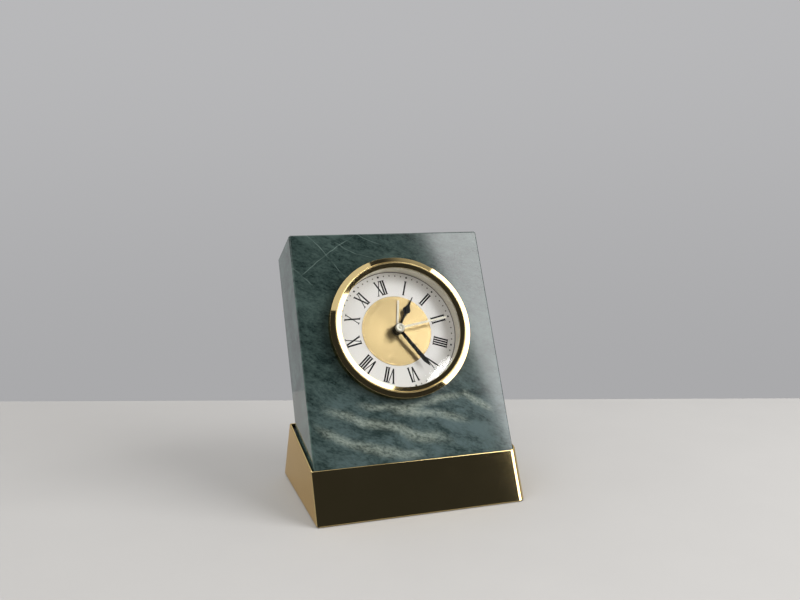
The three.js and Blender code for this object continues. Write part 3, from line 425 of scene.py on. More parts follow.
def green_marble():
    material, shader, where = new_finish("green_marble", {"IOR": 1.6})
    stone = lay_flat(where, FACE)
    grain = lay_flat(where, FACE @ Matrix.Rotation(GRAIN_TURN, 4, "Z"))
    push = noise(stone, 24, 3, 0.5, 1)
    shift = push.node("VectorMath", {"operation": "SUBTRACT"}, {0: push, 1: (0.5, 0.5, 0.5)})
    bend = {"operation": "MULTIPLY_ADD"}
    bent = stone.node("VectorMath", bend, {0: shift, 1: (0.014, 0.014, 0.014), 2: stone})
    along = stone.node("VectorMath", bend, {0: shift, 1: (0.012, 0.012, 0.012), 2: grain})
    x = bent.node("SeparateXYZ", None, {0: bent})
    y = bent.node("SeparateXYZ", None, {0: bent}, 1)
    streaks = noise(stretch(along, 1, 2.5, 2), 75, 8, 0.66)
    fine = noise(stretch(along, 1, 2.0, 1.6), 420, 6, 0.70)
    patches = noise(stretch(bent, 1, 1.5, 1), 26, 4, 0.55)
    deep = ramp(streaks * 0.38 + fine * 0.34 + patches * 0.28, 0.37, 0.63)
    colour = blend_colours(deep, (0.0065, 0.0150, 0.0135, 1), (0.047, 0.073, 0.065, 1))
    lower = ramp(y, -0.018, -0.050)
    wash = lower * ramp(x, -0.066, -0.020, 0.35, 1.0) * ramp(x, 0.060, 0.026, 0.55, 1.0)
    wash = wash * ramp(streaks * 0.35 + fine * 0.2 + patches * 0.45, 0.40, 0.60, 0.12, 1.0)
    colour = blend_colours(wash * 0.80, colour, (0.082, 0.116, 0.120, 1))
    broken = ramp(fine * 0.7 + streaks * 0.3, 0.34, 0.66, 0.12, 1.0)
    bands = all_streaks(x, y, PALE_BANDS) * broken
    colour = blend_colours(bands * 0.46, colour, (0.40, 0.44, 0.36, 1))
    veins = all_streaks(x, y, CLEAR_VEINS) + all_streaks(x, y, FAINT_VEINS) * 0.55
    veins = veins * ramp(noise(stone, 90, 3), 0.32, 0.55)
    colour = blend_colours(veins * 0.40, colour, (0.30, 0.40, 0.36, 1))
    left_side = ramp(stone.node("SeparateXYZ", None, {0: stone}), -0.0618, -0.0628)
    cloud = ramp(streaks * 0.5 + fine * 0.2 + patches * 0.3, 0.40, 0.60, 0.15, 1.0)
    colour = blend_colours(left_side * cloud, colour, (0.085, 0.145, 0.125, 1))
    specks = ramp(noise(stretch(along, 1, 3.0, 1.5), 300, 4, 0.6), 0.60, 0.71)
    colour = blend_colours(specks * ramp(y, -0.050, -0.015, 0.04, 0.6), colour, (0.005, 0.010, 0.009, 1))
    feed(shader, base_color=colour, roughness=0.06 + fine * 0.06)
    return material


marble_finish = green_marble()
print("marble nodes:", len(marble_finish.node_tree.nodes))

# %% [markdown]
# ## Gold, brushed gold and lacquer
# The base and the bezel are polished plated metal: a metal shader with low roughness, whose roughness
# drifts a little, with faint ripples as in bent sheet. The dial's centre is spun metal: fine rings,
# read from the distance to the dial's axis, tilt the normal to and fro, and that gives its bow-tie glow.


# %% Gold finishes
RIPPLE_DEPTH, SCRATCH_DEPTH, GRAIN_DEPTH = 0.008 * MM, 0.016 * MM, 0.02 * MM


def polished_gold():
    warm = {"Metallic": 1.0, "Specular Tint": (1.0, 0.84, 0.64, 1)}
    material, shader, where = new_finish("polished_gold", warm)
    drift = noise(where, 40, 3)
    colour = blend_colours(drift, (0.58, 0.45, 0.21, 1), (0.64, 0.50, 0.25, 1))
    ripples = noise(where, 70, 2)
    feed(shader, base_color=colour, roughness=0.02 + drift * 0.05, normal=bumps(ripples, RIPPLE_DEPTH))
    return material


def spun_gold():
    material, shader, where = new_finish("spun_gold", {"Metallic": 0.72, "Specular IOR Level": 0.2})
    flat = lay_flat(where, DIAL)
    radius = flat.node("VectorMath", {"operation": "LENGTH"}, {0: stretch(flat, 1, 1, 0)}, 1)
    one_way = {"noise_dimensions": "1D"}
    rings = radius.node("TexNoise", one_way, {"W": radius, "Scale": 1600, "Detail": 4})
    scratches = radius.node("TexNoise", one_way, {"W": radius, "Scale": 16000, "Detail": 1})
    colour = blend_colours(rings, (0.56, 0.417, 0.207, 1), (0.63, 0.471, 0.236, 1))
    tilted = bumps(scratches, SCRATCH_DEPTH, 0.02)
    feed(shader, base_color=colour, roughness=0.15 + rings * 0.08, normal=tilted)
    return material


gold_finish, spun_finish = polished_gold(), spun_gold()


def lacquer(name, dark, light, roughness, metallic=0.0, scale=350, gloss=0.5):
    """Painted or moulded finish with a fine mottled grain."""
    material, shader, where = new_finish(name, {"Metallic": metallic, "Specular IOR Level": gloss})
    grain = noise(where, scale, 5, 0.6)
    colour = blend_colours(grain, (*dark, 1), (*light, 1))
    feed(shader, base_color=colour, roughness=roughness + grain * 0.12, normal=bumps(grain, GRAIN_DEPTH))
    return material


dial_finish = lacquer("dial_white", (0.83, 0.80, 0.79), (0.88, 0.85, 0.84), 0.40)
ink_finish = lacquer("numeral_ink", (0.002, 0.002, 0.003), (0.007, 0.007, 0.008), 0.45, gloss=0.12)
dot_finish = lacquer("minute_ink", (0.06, 0.035, 0.03), (0.11, 0.07, 0.06), 0.45)
hand_finish = lacquer("black_lacquer", (0.003, 0.003, 0.003), (0.009, 0.009, 0.008), 0.14, gloss=0.2)
cream_finish = lacquer("cream_enamel", (0.88, 0.82, 0.68), (0.94, 0.90, 0.79), 0.30)
satin_finish = lacquer("satin_gold", (0.80, 0.76, 0.64), (0.88, 0.84, 0.73), 0.38, 0.15)
cap_finish = lacquer("champagne_metal", (0.62, 0.59, 0.50), (0.70, 0.67, 0.58), 0.30, 0.35)
print("gold and lacquer finishes made")

# %% [markdown]
# ## The clear lens
# A lens that bends light would also block the lamps, and the dial would go dark. A mix of transparent and
# gloss shaders, shared out by the Fresnel law, lets the light through and still mirrors the lamps.


# %% Lens finish
def clear_lens():
    material, shader, where = new_finish("clear_lens")
    tree = material.node_tree
    tree.nodes.remove(shader)
    share = where.node("Fresnel", None, {"IOR": 1.3})
    haze = noise(where, 90, 3)
    gloss = where.node("BsdfGlossy", None, {"Color": (1, 1, 1, 1), "Roughness": 0.04})
    through = where.node("BsdfTransparent", None, {"Color": (0.985, 0.99, 0.985, 1)})
    mixed = where.node("MixShader", None, {0: share * (0.85 + haze * 0.15), 1: through, 2: gloss})
    tree.links.new(mixed.socket, tree.nodes["Material Output"].inputs["Surface"])
    return material


lens_finish = clear_lens()
print("lens nodes:", len(lens_finish.node_tree.nodes))

# %% [markdown]
# ## Finishes for the solids that stay as they are
# The hidden movement, the black core, the pad and the rear cover keep their CAD shape. Each gets a
# finish by the material slot that the record gives it, with a grain at the scale of the real thing.

# %% Finishes by slot
slot_finishes = {
    "marble": marble_finish,
    "gold": gold_finish,
    "brushed_gold": spun_finish,
    "clear": lens_finish,
    "dial_white": dial_finish,
    "hand_black": hand_finish,
    "hand_cream": cream_finish,
    "black_core": lacquer("black_core", (0.006, 0.006, 0.006), (0.016, 0.015, 0.014), 0.55, 0.0, 220),
    "pad": lacquer("felt_pad", (0.012, 0.012, 0.013), (0.035, 0.034, 0.036), 0.82, 0.0, 900),
    "grip_rubber": lacquer("grip_rubber", (0.016, 0.016, 0.017), (0.034, 0.034, 0.035), 0.62, 0.0, 500),
    "black_plastic": lacquer("black_plastic", (0.024, 0.024, 0.026), (0.046, 0.046, 0.049), 0.36, 0.0, 800),
    "white_plastic": lacquer("white_plastic", (0.66, 0.65, 0.62), (0.76, 0.75, 0.72), 0.34, 0.0, 500),
    "steel": lacquer("zinc_steel", (0.50, 0.50, 0.49), (0.66, 0.66, 0.65), 0.24, 1.0, 700),
    "brass": lacquer("gear_brass", (0.68, 0.50, 0.22), (0.80, 0.62, 0.30), 0.24, 1.0, 600),
    "copper": lacquer("coil_copper", (0.56, 0.24, 0.12), (0.74, 0.36, 0.20), 0.30, 1.0, 900),
    "board": lacquer("circuit_green", (0.02, 0.11, 0.05), (0.03, 0.17, 0.08), 0.32, 0.0, 400),
    "battery_wrap": lacquer("battery_wrap", (0.10, 0.10, 0.11), (0.17, 0.17, 0.18), 0.28, 0.0, 300),
}
for subpart in frame["record"]["subparts"]:
    node = frame["nodes"][subpart["node"]]
    node.data.materials.clear()
    node.data.materials.append(slot_finishes[subpart["material_slot"]])

# %% [markdown]
# ## The stone block
# A sawn block with polished, slightly rounded edges and a bore right through it. It starts as a cube at
# the block's size, its twelve edges are bevelled, and a turned plug with flared ends cuts the bore.

# %% Stone block
STONE_EDGE, BORE, FLARE = 1.3 * MM, 42 * MM, 1.2 * MM


def start_cube(name, low, high):
    """A cube stretched to a box, with its size written into its mesh."""
    bpy.ops.object.select_all(action="DESELECT")
    bpy.ops.mesh.primitive_cube_add(size=1, location=(low + high) / 2, scale=high - low)
    piece = bpy.context.object
    piece.name = piece.data.name = name
    bpy.ops.object.transform_apply(location=True, rotation=True, scale=True)
    return piece


slab_low, slab_high = flat_box("marble_slab", FACE)
stone = start_cube("stone_block", slab_low, slab_high)
bpy.ops.object.mode_set(mode="EDIT")
bpy.ops.mesh.select_all(action="SELECT")
bpy.ops.mesh.bevel(offset=STONE_EDGE, segments=3, profile=0.42, affect="EDGES")
bpy.ops.object.mode_set(mode="OBJECT")
bottom, top = slab_low.z, slab_high.z
plug = turn_profile(
    "bore_plug",
    [
        (0, bottom - MM), (BORE + FLARE + MM, bottom - MM), (BORE, bottom + FLARE),
        (BORE, top - FLARE), (BORE + FLARE + MM, top + MM), (0, top + MM),
    ],
)
use_modifier(stone, "BOOLEAN", operation="DIFFERENCE", object=plug, solver="EXACT")
bpy.data.objects.remove(plug)
settle(stone, FACE, marble_finish, "base", "marble", "marble_slab")

# %% [markdown]
# ## The gold base
# The base is one strip of sheet metal folded round a core: four leaning walls with small bend radii and
# a sloping rim. A cube's corners are moved to the strip's outer corners, its top and bottom are deleted,
# the four bends are bevelled round, and Solidify gives the sheet its thickness inwards. The photograph
# shows a crisp fold at the left and a soft one at the right, so the two pairs differ. The foot is cut
# across by a plane and drawn in a little as a hem, and the rim is rounded, so both catch a line of light.

# %% Gold base
FRONT_RISE, BACK_RISE, BACK_SETBACK = 29 * MM, 40.5 * MM, 22 * MM
SHEET, HEM, RIM_ROUND = 0.8 * MM, 0.7 * MM, 0.6 * MM
CRISP_BEND, SOFT_BEND, SHEET_EDGE = 1.3 * MM, 4.6 * MM, 0.12 * MM


def rounded(point):
    """A point's coordinates to the micrometre, as a key to find it by."""
    return tuple(round(value, 6) for value in point)


shell_low, shell_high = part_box("base_shell")
front_step = (FRONT_RISE - shell_low.z) * math.tan(LEAN)
shell = start_cube("gold_base", shell_low, shell_high)
middle = (shell_low + shell_high) / 2
select_edges(shell, lambda a, b: min(a.z, b.z) > middle.z and max(a.y, b.y) < middle.y)
bpy.ops.transform.translate(value=(0, front_step, FRONT_RISE - shell_high.z))
select_edges(shell, lambda a, b: min(a.z, b.z) > middle.z and min(a.y, b.y) > middle.y)
bpy.ops.transform.translate(value=(0, -BACK_SETBACK, BACK_RISE - shell_high.z))
select_faces(shell, lambda centre, normal: abs(normal.z) > 0.9)
bpy.ops.mesh.delete(type="FACE")
for side, bend in ((-1, CRISP_BEND), (1, SOFT_BEND)):
    select_edges(shell, lambda a, b: abs(a.z - b.z) > 10 * MM and a.x * side > 0)
    bpy.ops.mesh.bevel(offset=bend, segments=12, affect="EDGES")
bpy.ops.mesh.select_all(action="SELECT")
bpy.ops.mesh.bisect(plane_co=(0, 0, shell_low.z + HEM), plane_no=(0, 0, 1))
select_edges(shell, lambda a, b: max(a.z, b.z) < shell_low.z + HEM / 2)
draw_in = [1 - 2 * HEM / side for side in (shell_high - shell_low).xy]
bpy.ops.transform.resize(value=(*draw_in, 1), center_override=middle)
bpy.ops.mesh.select_all(action="SELECT")
bpy.ops.mesh.normals_make_consistent(inside=False)
bpy.ops.object.mode_set(mode="OBJECT")
rim = {rounded(vertex.co) for vertex in shell.data.vertices if vertex.co.z > middle.z}
use_modifier(shell, "SOLIDIFY", thickness=SHEET, offset=-1.0, use_even_offset=True)
select_edges(shell, lambda a, b: max(a.z, b.z) < shell_low.z + HEM / 2)
bpy.ops.transform.resize(value=(1, 1, 0), center_override=(0, 0, shell_low.z))
select_edges(shell, lambda *ends: all(rounded(end) in rim for end in ends))
bpy.ops.mesh.bevel(offset=RIM_ROUND, segments=5, affect="EDGES")
bpy.ops.object.mode_set(mode="OBJECT")
break_edges(shell, SHEET_EDGE, 50)
settle(shell, Matrix(), gold_finish, "base", "gold", "base_shell")

# %% [markdown]
# ## The bezel
# The bezel is a turned ring. An upright wall stands on the stone, two shallow bands meet at a fine bead,
# and a lip runs over the lens. Its cross-section is drawn with the pen, its corners are rounded by a vertex
# bevel, and it is spun round the dial's axis in many steps.

# %% Bezel and well wall
bezel_low, bezel_high = flat_box("bezel")
well_low, well_high = flat_box("dial_ring")
BEZEL, CREST, LIP, SKIRT_OUT, SKIRT_IN = 45 * MM, 41.5 * MM, 38.3 * MM, 41.7 * MM, 41.0 * MM
LIP_FOOT, STEP_FOOT, STEP = 5.75 * MM, 4.5 * MM, 40.0 * MM
WALL_DROP, LIP_DROP = 1.25 * MM, 0.70 * MM
seat, crown = 0.3 * MM, bezel_high.z
BEAD, BEAD_DEEP = 0.4 * MM, 0.34 * MM
bead_angles = [math.pi * i / 6 for i in range(7)]
bead = [(CREST + BEAD * math.cos(a), crown - BEAD_DEEP * (1 - math.sin(a))) for a in bead_angles]
bezel = turn_profile(
    "bezel_ring",
    [
        (LIP, LIP_FOOT), (STEP, LIP_FOOT), (STEP, STEP_FOOT), (SKIRT_IN, STEP_FOOT),
        (SKIRT_IN, bezel_low.z), (SKIRT_OUT, bezel_low.z), (SKIRT_OUT, seat), (BEZEL, seat),
        (BEZEL, crown - WALL_DROP), *bead, (LIP, crown - LIP_DROP),
    ],
    steps=180,
    corner=0.1 * MM,
)
settle(bezel, DIAL, gold_finish, "insert", "gold", "bezel")
WELL, WELL_FOOT, WELL_OUT = 38.6 * MM, 39.1 * MM, 39.4 * MM
well = turn_profile(
    "well_wall",
    [(WELL_FOOT, well_low.z), (WELL_OUT, well_low.z), (WELL_OUT, well_high.z), (WELL, well_high.z)],
    steps=160,
    corner=0.12 * MM,
)
settle(well, DIAL, satin_finish, "insert", "gold", "dial_ring")

# %% [markdown]
# ## The lens
# A flat disc of clear plastic whose face stands a little above a rim that the bezel's lip holds down. Its
# section is drawn from the axis out along the underside, up the rim and back in over the step.

# %% Lens
lens_low = flat_box("lens")[0]
LENS_RIM, LENS_EDGE, LENS_WALL, LENS_STEP = 38.0 * MM, 39.7 * MM, 0.9 * MM, 0.4 * MM
foot, shoulder = lens_low.z, lens_low.z + LENS_WALL
lens = turn_profile(
    "lens_disc",
    [
        (0, foot), (LENS_EDGE, foot), (LENS_EDGE, shoulder),
        (LENS_RIM, shoulder), (LENS_RIM, shoulder + LENS_STEP), (0, shoulder + LENS_STEP),
    ],
    steps=144,
    corner=0.1 * MM,
)
settle(lens, DIAL, lens_finish, "insert", "clear", "lens")

# %% [markdown]
# ## The dial plate and its gold centre
# The dial is a white printed disc with a spun metal disc laid on its middle. Both are turned rings with
# a hole for the hands' tubes, and both get a fine rounded edge that catches the light. A narrow groove
# runs round the white disc at the foot of the well, and a dark ring laid in its floor is painted shade:
# it stands in for the thin shadow line where the dial meets the well.

# %% Dial discs
HOLE = 3.1 * MM
GROOVE_IN, GROOVE_OUT, GROOVE_DEPTH = 38.70 * MM, 39.15 * MM, 0.25 * MM


def turned_disc(name, node, corner, groove=()):
    """A ring with the height and the outer radius of a CAD node, and a groove of (radius, depth) points."""
    low, high = flat_box(node)
    section = [(HOLE, low.z), (high.y, low.z), (high.y, high.z)]
    section += [(radius, high.z - depth) for radius, depth in groove] + [(HOLE, high.z)]
    return turn_profile(name, section, steps=144, corner=corner)


edge_groove = [(GROOVE_OUT, 0), (GROOVE_OUT, GROOVE_DEPTH), (GROOVE_IN, GROOVE_DEPTH), (GROOVE_IN, 0)]
plate = turned_disc("dial_disc", "dial_plate", 0.08 * MM, edge_groove)
settle(plate, DIAL, dial_finish, "insert", "dial_white", "dial_plate")
dial_top = flat_box("dial_plate")[1].z
# Painted shade: a dark ring laid in the groove's floor stands in for the shadow line at the foot of the
# well.
shadow_line_low, shadow_line_high = dial_top - GROOVE_DEPTH, dial_top - GROOVE_DEPTH / 2
shadow_line_section = rectangle(GROOVE_IN, GROOVE_OUT, shadow_line_low, shadow_line_high)
painted_shadow_line = turn_profile("painted_shadow_line", shadow_line_section, steps=144, corner=0.03 * MM)
settle(painted_shadow_line, DIAL, dot_finish, "insert", "hand_black")
spun = turned_disc("spun_centre", "dial_centre", 0.06 * MM)
settle(spun, DIAL, spun_finish, "insert", "brushed_gold", "dial_centre")
print("dial top at", round(dial_top / MM, 3), "mm")

# %% [markdown]
# ## The printed numerals
# Twelve Roman numerals stand with their feet towards the middle, with thick upright strokes, thin second
# strokes and hairline serifs, and four is written IIII, as is usual on clocks. Each stroke is a flat
# outline with a print's thickness. A table of strokes for each letter is enough, laid out along the circle.

# %% Numerals
NUMERAL_MIDDLE, NUMERAL_HEIGHT = 29.2 * MM, 9.2 * MM
THICK, THIN, SERIF, INK = 1.04 * MM, 0.55 * MM, 0.46 * MM, 0.03 * MM
BAR_STEP, WIDE, WING, LETTER_GAP = 1.5 * MM, 3.2 * MM, 0.77 * MM, 0.35 * MM


def letter_strokes(letter, at):
    """Strokes (start, end, width) of one letter, whose middle is at a place along the line."""
    high, half = NUMERAL_HEIGHT / 2, WIDE / 2
    if letter == "I":
        return [((at, -high), (at, high), THICK)]
    foot = at if letter == "V" else at + half
    strokes = [((foot, -high), (at - half, high), THICK)]
    foot = at if letter == "V" else at - half
    return strokes + [((foot, -high), (at + half, high), THIN)]


def serif_spans(letter, at):
    """Serifs (start, end, height) of one letter."""
    high, half = NUMERAL_HEIGHT / 2, WIDE / 2
    ends = [at] if letter == "I" else [at - half, at + half]
    rows = [high] if letter == "V" else [high, -high]
    return [(end - WING, end + WING, row) for end in ends for row in rows]


def numeral_outlines(numeral):
    """Outlines of a numeral's strokes and serifs, with the numeral's middle at the origin."""
    places, at, before = [], 0.0, None
    for letter in numeral:
        if before:
            at += BAR_STEP if before == letter == "I" else BAR_STEP / 2 + WIDE / 2 + LETTER_GAP
        places.append((letter, at))
        before = letter
    shift = at / 2
    outlines = []
    for letter, at in places:
        for (x0, y0), (x1, y1), width in letter_strokes(letter, at - shift):
            half = width / 2
            outlines.append([(x0 - half, y0), (x0 + half, y0), (x1 + half, y1), (x1 - half, y1)])
        for x0, x1, row in serif_spans(letter, at - shift):
            outlines.append(rectangle(x0, x1, row - SERIF / 2, row + SERIF / 2))
    return outlines


def on_circle(point, angle):
    """Carry a point of a numeral to its place at a clock angle, feet towards the middle."""
    along, out = point[0], point[1] + NUMERAL_MIDDLE
    x = along * math.cos(angle) + out * math.sin(angle)
    return x, out * math.cos(angle) - along * math.sin(angle)


ink_outlines = []
for hour, numeral in enumerate("I II III IIII V VI VII VIII IX X XI XII".split(), 1):
    angle = math.radians(30 * hour)
    for outline in numeral_outlines(numeral):
        ink_outlines.append([on_circle(point, angle) for point in outline])
numerals = plate_group("numerals", ink_outlines, dial_top, dial_top + INK)
settle(numerals, DIAL, ink_finish, "insert", "hand_black")

# %% [markdown]
# ## The minute track
# A dot marks every minute and a larger one every hour. One low domed dot is modelled from a circle, and
# Spin with its duplicate option copies it round the dial.


# %% Minute track
TRACK = 36.5 * MM


def dot_ring(name, radius, first, copies, finish):
    """A ring of dots: one dot, spun into a group of copies, and the group spun twelve times."""
    piece = start_piece(name)
    bpy.ops.mesh.delete(type="VERT")
    angle = math.radians(first)
    at = (TRACK * math.sin(angle), TRACK * math.cos(angle), dial_top)
    bpy.ops.mesh.primitive_circle_add(vertices=10, radius=radius, fill_type="NGON", location=at)
    bpy.ops.mesh.extrude_region_move(TRANSFORM_OT_translate={"value": (0, 0, INK * 0.6)})
    bpy.ops.mesh.inset(thickness=radius * 0.3)
    bpy.ops.transform.translate(value=(0, 0, INK * 0.4))
    bpy.ops.mesh.select_all(action="SELECT")
    around = {"center": (0, 0, 0), "axis": (0, 0, 1), "dupli": True}
    if copies > 1:
        bpy.ops.mesh.spin(steps=copies - 1, angle=math.radians(6) * (copies - 1), **around)
        bpy.ops.mesh.select_all(action="SELECT")
    bpy.ops.mesh.spin(steps=12, angle=2 * math.pi, **around)
    true_up()
    settle(piece, DIAL, finish, "insert", "hand_black")


dot_ring("hour_dots", 0.64 * MM, 0, 1, ink_finish)
dot_ring("minute_dots", 0.46 * MM, 6, 4, dot_finish)

# %% [markdown]
# ## The hands
# Hands are stamped from thin sheet. Each blade is an outline drawn with the pen, extruded to its thickness
# with its upper edges bevelled. Only its right half is listed: the spade's is a row of curves.


# %% Hands
SHEET_METAL, BLADE_BEVEL = 0.4 * MM, 0.10 * MM
SECONDS = 15.4
MINUTES = 26 + SECONDS / 60
HOURS = 1 + MINUTES / 60
ALARM_ANGLE = 21.6


def curve_points(start, pull, end, steps=8):
    """Points of a quadratic curve, without its first."""
    points = []
    for i in range(1, steps + 1):
        t = i / steps
        a, b, c = (1 - t) ** 2, 2 * t * (1 - t), t * t
        points.append(tuple(a * p + b * q + c * r for p, q, r in zip(start, pull, end)))
    return points


def blade(name, right_half, node, turn, finish, body, slot):
    """A stamped blade with bevelled upper edges, turned clockwise from twelve; its half is in mm."""
    low = flat_box(node)[0].z
    right = [(x * MM, y * MM) for x, y in right_half]
    left = [(-x, y) for x, y in reversed(right) if x > 0]
    piece = start_piece(name)
    add_plate(right + left, low, low + SHEET_METAL)
    true_up()
    select_edges(piece, lambda a, b: min(a.z, b.z) > low + SHEET_METAL / 2)
    bpy.ops.mesh.bevel(offset=BLADE_BEVEL, segments=2, affect="EDGES")
    bpy.ops.object.mode_set(mode="OBJECT")
    place = DIAL @ Matrix.Rotation(-math.radians(turn), 4, "Z")
    settle(piece, place, finish, body, slot, node)


spade = [(0.72, 0), (0.72, 11.3)]
spade += curve_points((0.72, 11.3), (0.90, 12.3), (1.8, 12.9))
spade += curve_points((1.8, 12.9), (3.35, 14.3), (1.9, 16.0))
spade += curve_points((1.9, 16.0), (0.7, 17.5), (0.55, 19.4)) + [(0.28, 24.1)]
wedge = [(1.0, 0), (1.45, 25.5), (0.16, 30.0)]
short_bar, long_bar = ([(0.6, 0), (0.6, reach - 0.2), (0.4, reach)] for reach in (20.0, 32.0))
blade("hour_blade", spade, "hour_hand", 30 * HOURS, hand_finish, "hours", "hand_black")
blade("minute_blade", wedge, "minute_hand", 6 * MINUTES, hand_finish, "minutes", "hand_black")
blade("alarm_blade", short_bar, "alarm_hand", ALARM_ANGLE, cream_finish, "alarm", "hand_cream")
blade("second_blade", long_bar, "second_hand", 6 * SECONDS, cream_finish, "seconds", "hand_cream")

# %% [markdown]
# ## The collets and the hub cap
# A collet holds the alarm, hour and minute hands on their tubes, and a bright cap with a sunk middle holds
# the second hand. All are turned. The cap's rolled edge is a quarter circle of points.


# %% Collets and cap
COLLET, COLLET_HEIGHT = 3.3 * MM, 1.6 * MM


def collet(name, node, body, bore):
    """A turned black collar that holds a hand on its tube."""
    low = flat_box(node)[0].z
    section = rectangle(bore, COLLET, low, low + COLLET_HEIGHT)
    piece = turn_profile(name, section, steps=64, corner=0.22 * MM)
    settle(piece, DIAL, hand_finish, body, "hand_black")


collet("alarm_collet", "alarm_hand", "alarm", 2.4 * MM)
collet("hour_collet", "hour_hand", "hours", 1.7 * MM)
collet("minute_collet", "minute_hand", "minutes", 0.9 * MM)
second_low, second_high = (corner.z for corner in flat_box("second_hand"))
CAP, CAP_ROLL, DISH, DISH_FLOOR = 2.9 * MM, 0.7 * MM, 1.5 * MM, 1.3 * MM
PIP_FOOT, PIP = 0.6 * MM, 0.5 * MM
dish_rim, dish_floor, pip_rim = (second_high - drop * MM for drop in (0.15, 0.55, 0.1))
cap_section = [(0, second_low), (CAP, second_low)]
for i in range(9):
    angle = math.pi / 2 * i / 8
    rise = second_high - CAP_ROLL + CAP_ROLL * math.sin(angle)
    cap_section.append((CAP - CAP_ROLL + CAP_ROLL * math.cos(angle), rise))
cap_section += [(DISH, dish_rim), (DISH_FLOOR, dish_floor)]
cap_section += [(PIP_FOOT, dish_floor), (PIP, pip_rim), (0, second_high)]
cap = turn_profile("hub_cap", cap_section, steps=72)
settle(cap, DIAL, cap_finish, "seconds", "hand_cream")

# %% [markdown]
# ## The back of the clock
# A black moulded cover carries two setting knobs, three screws, an alarm switch and a battery door. The
# photograph can't show them, so they follow an ordinary push-fit alarm clock. A knob starts as a
# cylinder: every third side face is inset and pushed in as a flute, and its outer face is inset and sunk.
# It is modelled once on the axis, and its copy has a mesh of its own.


# %% Setting knobs
FLUTES, FLUTE_EDGE, FLUTE_DEPTH = 24, 0.05 * MM, 0.35 * MM
KNOB_RIM, KNOB_DISH, KNOB_EDGE = 1.1 * MM, 0.6 * MM, 0.1 * MM


def copy_piece(piece, name):
    """A copy of a piece with its own mesh."""
    twin = piece.copy()
    twin.data = piece.data.copy()
    twin.name = twin.data.name = name
    bpy.context.scene.collection.objects.link(twin)
    return twin


def on_axis(node, turn=0):
    """Place on the dial at the middle of a CAD node, turned by some degrees."""
    low, high = flat_box(node)
    middle = Matrix.Translation(((low.x + high.x) / 2, (low.y + high.y) / 2, 0))
    return DIAL @ middle @ Matrix.Rotation(math.radians(turn), 4, "Z")


def on_flute(centre, normal):
    """True for every third side face of the knob."""
    share = math.atan2(normal.y, normal.x) / (2 * math.pi) * FLUTES
    return abs(normal.z) < 0.1 and share % 1 < 1 / 3


knob_low, knob_high = flat_box("time_set_knob")
bpy.ops.object.select_all(action="DESELECT")
bpy.ops.mesh.primitive_cylinder_add(
    vertices=3 * FLUTES,
    radius=(knob_high.y - knob_low.y) / 2,
    depth=knob_high.z - knob_low.z,
    location=(0, 0, (knob_low.z + knob_high.z) / 2),
)
time_knob = bpy.context.object
time_knob.name = time_knob.data.name = "time_knob"
bpy.ops.object.transform_apply(location=True, rotation=True, scale=True)
select_faces(time_knob, on_flute)
bpy.ops.mesh.inset(thickness=FLUTE_EDGE, depth=-FLUTE_DEPTH, use_individual=True)
select_faces(time_knob, lambda centre, normal: normal.z < -0.9)
bpy.ops.mesh.inset(thickness=KNOB_RIM, depth=-KNOB_DISH)
bpy.ops.object.mode_set(mode="OBJECT")
break_edges(time_knob, KNOB_EDGE, 40)
alarm_knob = copy_piece(time_knob, "alarm_knob")
plastic = slot_finishes["black_plastic"]
settle(time_knob, on_axis("time_set_knob"), plastic, "time_setting", "black_plastic", "time_set_knob")
settle(alarm_knob, on_axis("alarm_set_knob"), plastic, "alarm_setting", "black_plastic", "alarm_set_knob")

# %% [markdown]
# ## The cover's screws
# A pan-head screw is turned, and a cross is cut into its head by two bars. The three screws are copies of
# one, each turned by its own angle, as a hand leaves them.

# %% Cover screws
screw_low, screw_high = flat_box("cover_screw_1")
head_back, shank_front = screw_low.z, screw_high.z
HEAD, HEAD_DEEP, SHANK = 1.9 * MM, 1.3 * MM, 0.9 * MM
CROSS_BAR = Vector((2.3, 0.5, 1.3)) * MM
head_front = head_back + HEAD_DEEP
screw = turn_profile(
    "cross_screw_1",
    [
        (0, head_back), (HEAD * 0.6, head_back), (HEAD, head_back + HEAD_DEEP * 0.5),
        (HEAD, head_front), (SHANK, head_front), (SHANK, shank_front), (0, shank_front),
    ],
    steps=48,
    corner=0.15 * MM,
)
for turn in (0, 90):
    bpy.ops.object.select_all(action="DESELECT")
    bpy.ops.mesh.primitive_cube_add(size=1, location=(0, 0, head_back), rotation=(0, 0, math.radians(turn)))
    bar = bpy.context.object
    bar.scale = CROSS_BAR
    use_modifier(screw, "BOOLEAN", operation="DIFFERENCE", object=bar, solver="EXACT")
    bpy.data.objects.remove(bar)
screws = [screw, copy_piece(screw, "cross_screw_2"), copy_piece(screw, "cross_screw_3")]
for piece, node, turn in zip(screws, ("cover_screw_1", "cover_screw_2", "cover_screw_3"), (12, 55, 31)):
    settle(piece, on_axis(node, turn), slot_finishes["steel"], "insert", "steel", node)

# %% [markdown]
# ## Rims, ribs and arrows on the cover
# A moulded cover has a raised rim, a ring round its sound holes, and ribs where a finger pushes. Rings are
# turned, ribs are plates with bevelled edges, and a printed arrow beside each knob shows which way to turn.


# %% Rims, ribs and arrows
SUNK, RIB_EDGE = 0.1 * MM, 0.12 * MM
ARROW_RISE, ARROW_SUNK = 0.12 * MM, 0.05 * MM
ARROW_IN, ARROW_OUT = 6.4, 6.9
TIP_IN, TIP_MIDDLE, TIP_OUT, TIP_ANGLE = 5.8, 6.65, 7.5, 14
SOUND_PLACE = Matrix.Translation((20 * MM, 17 * MM, 0))


def raised_ring(name, inner, outer, rise, place):
    """A turned ring that stands on the cover."""
    section = rectangle(inner, outer, cover_back + SUNK, cover_back - rise)
    piece = turn_profile(name, section, corner=0.15 * MM)
    settle(piece, place, plastic, "insert", "black_plastic")


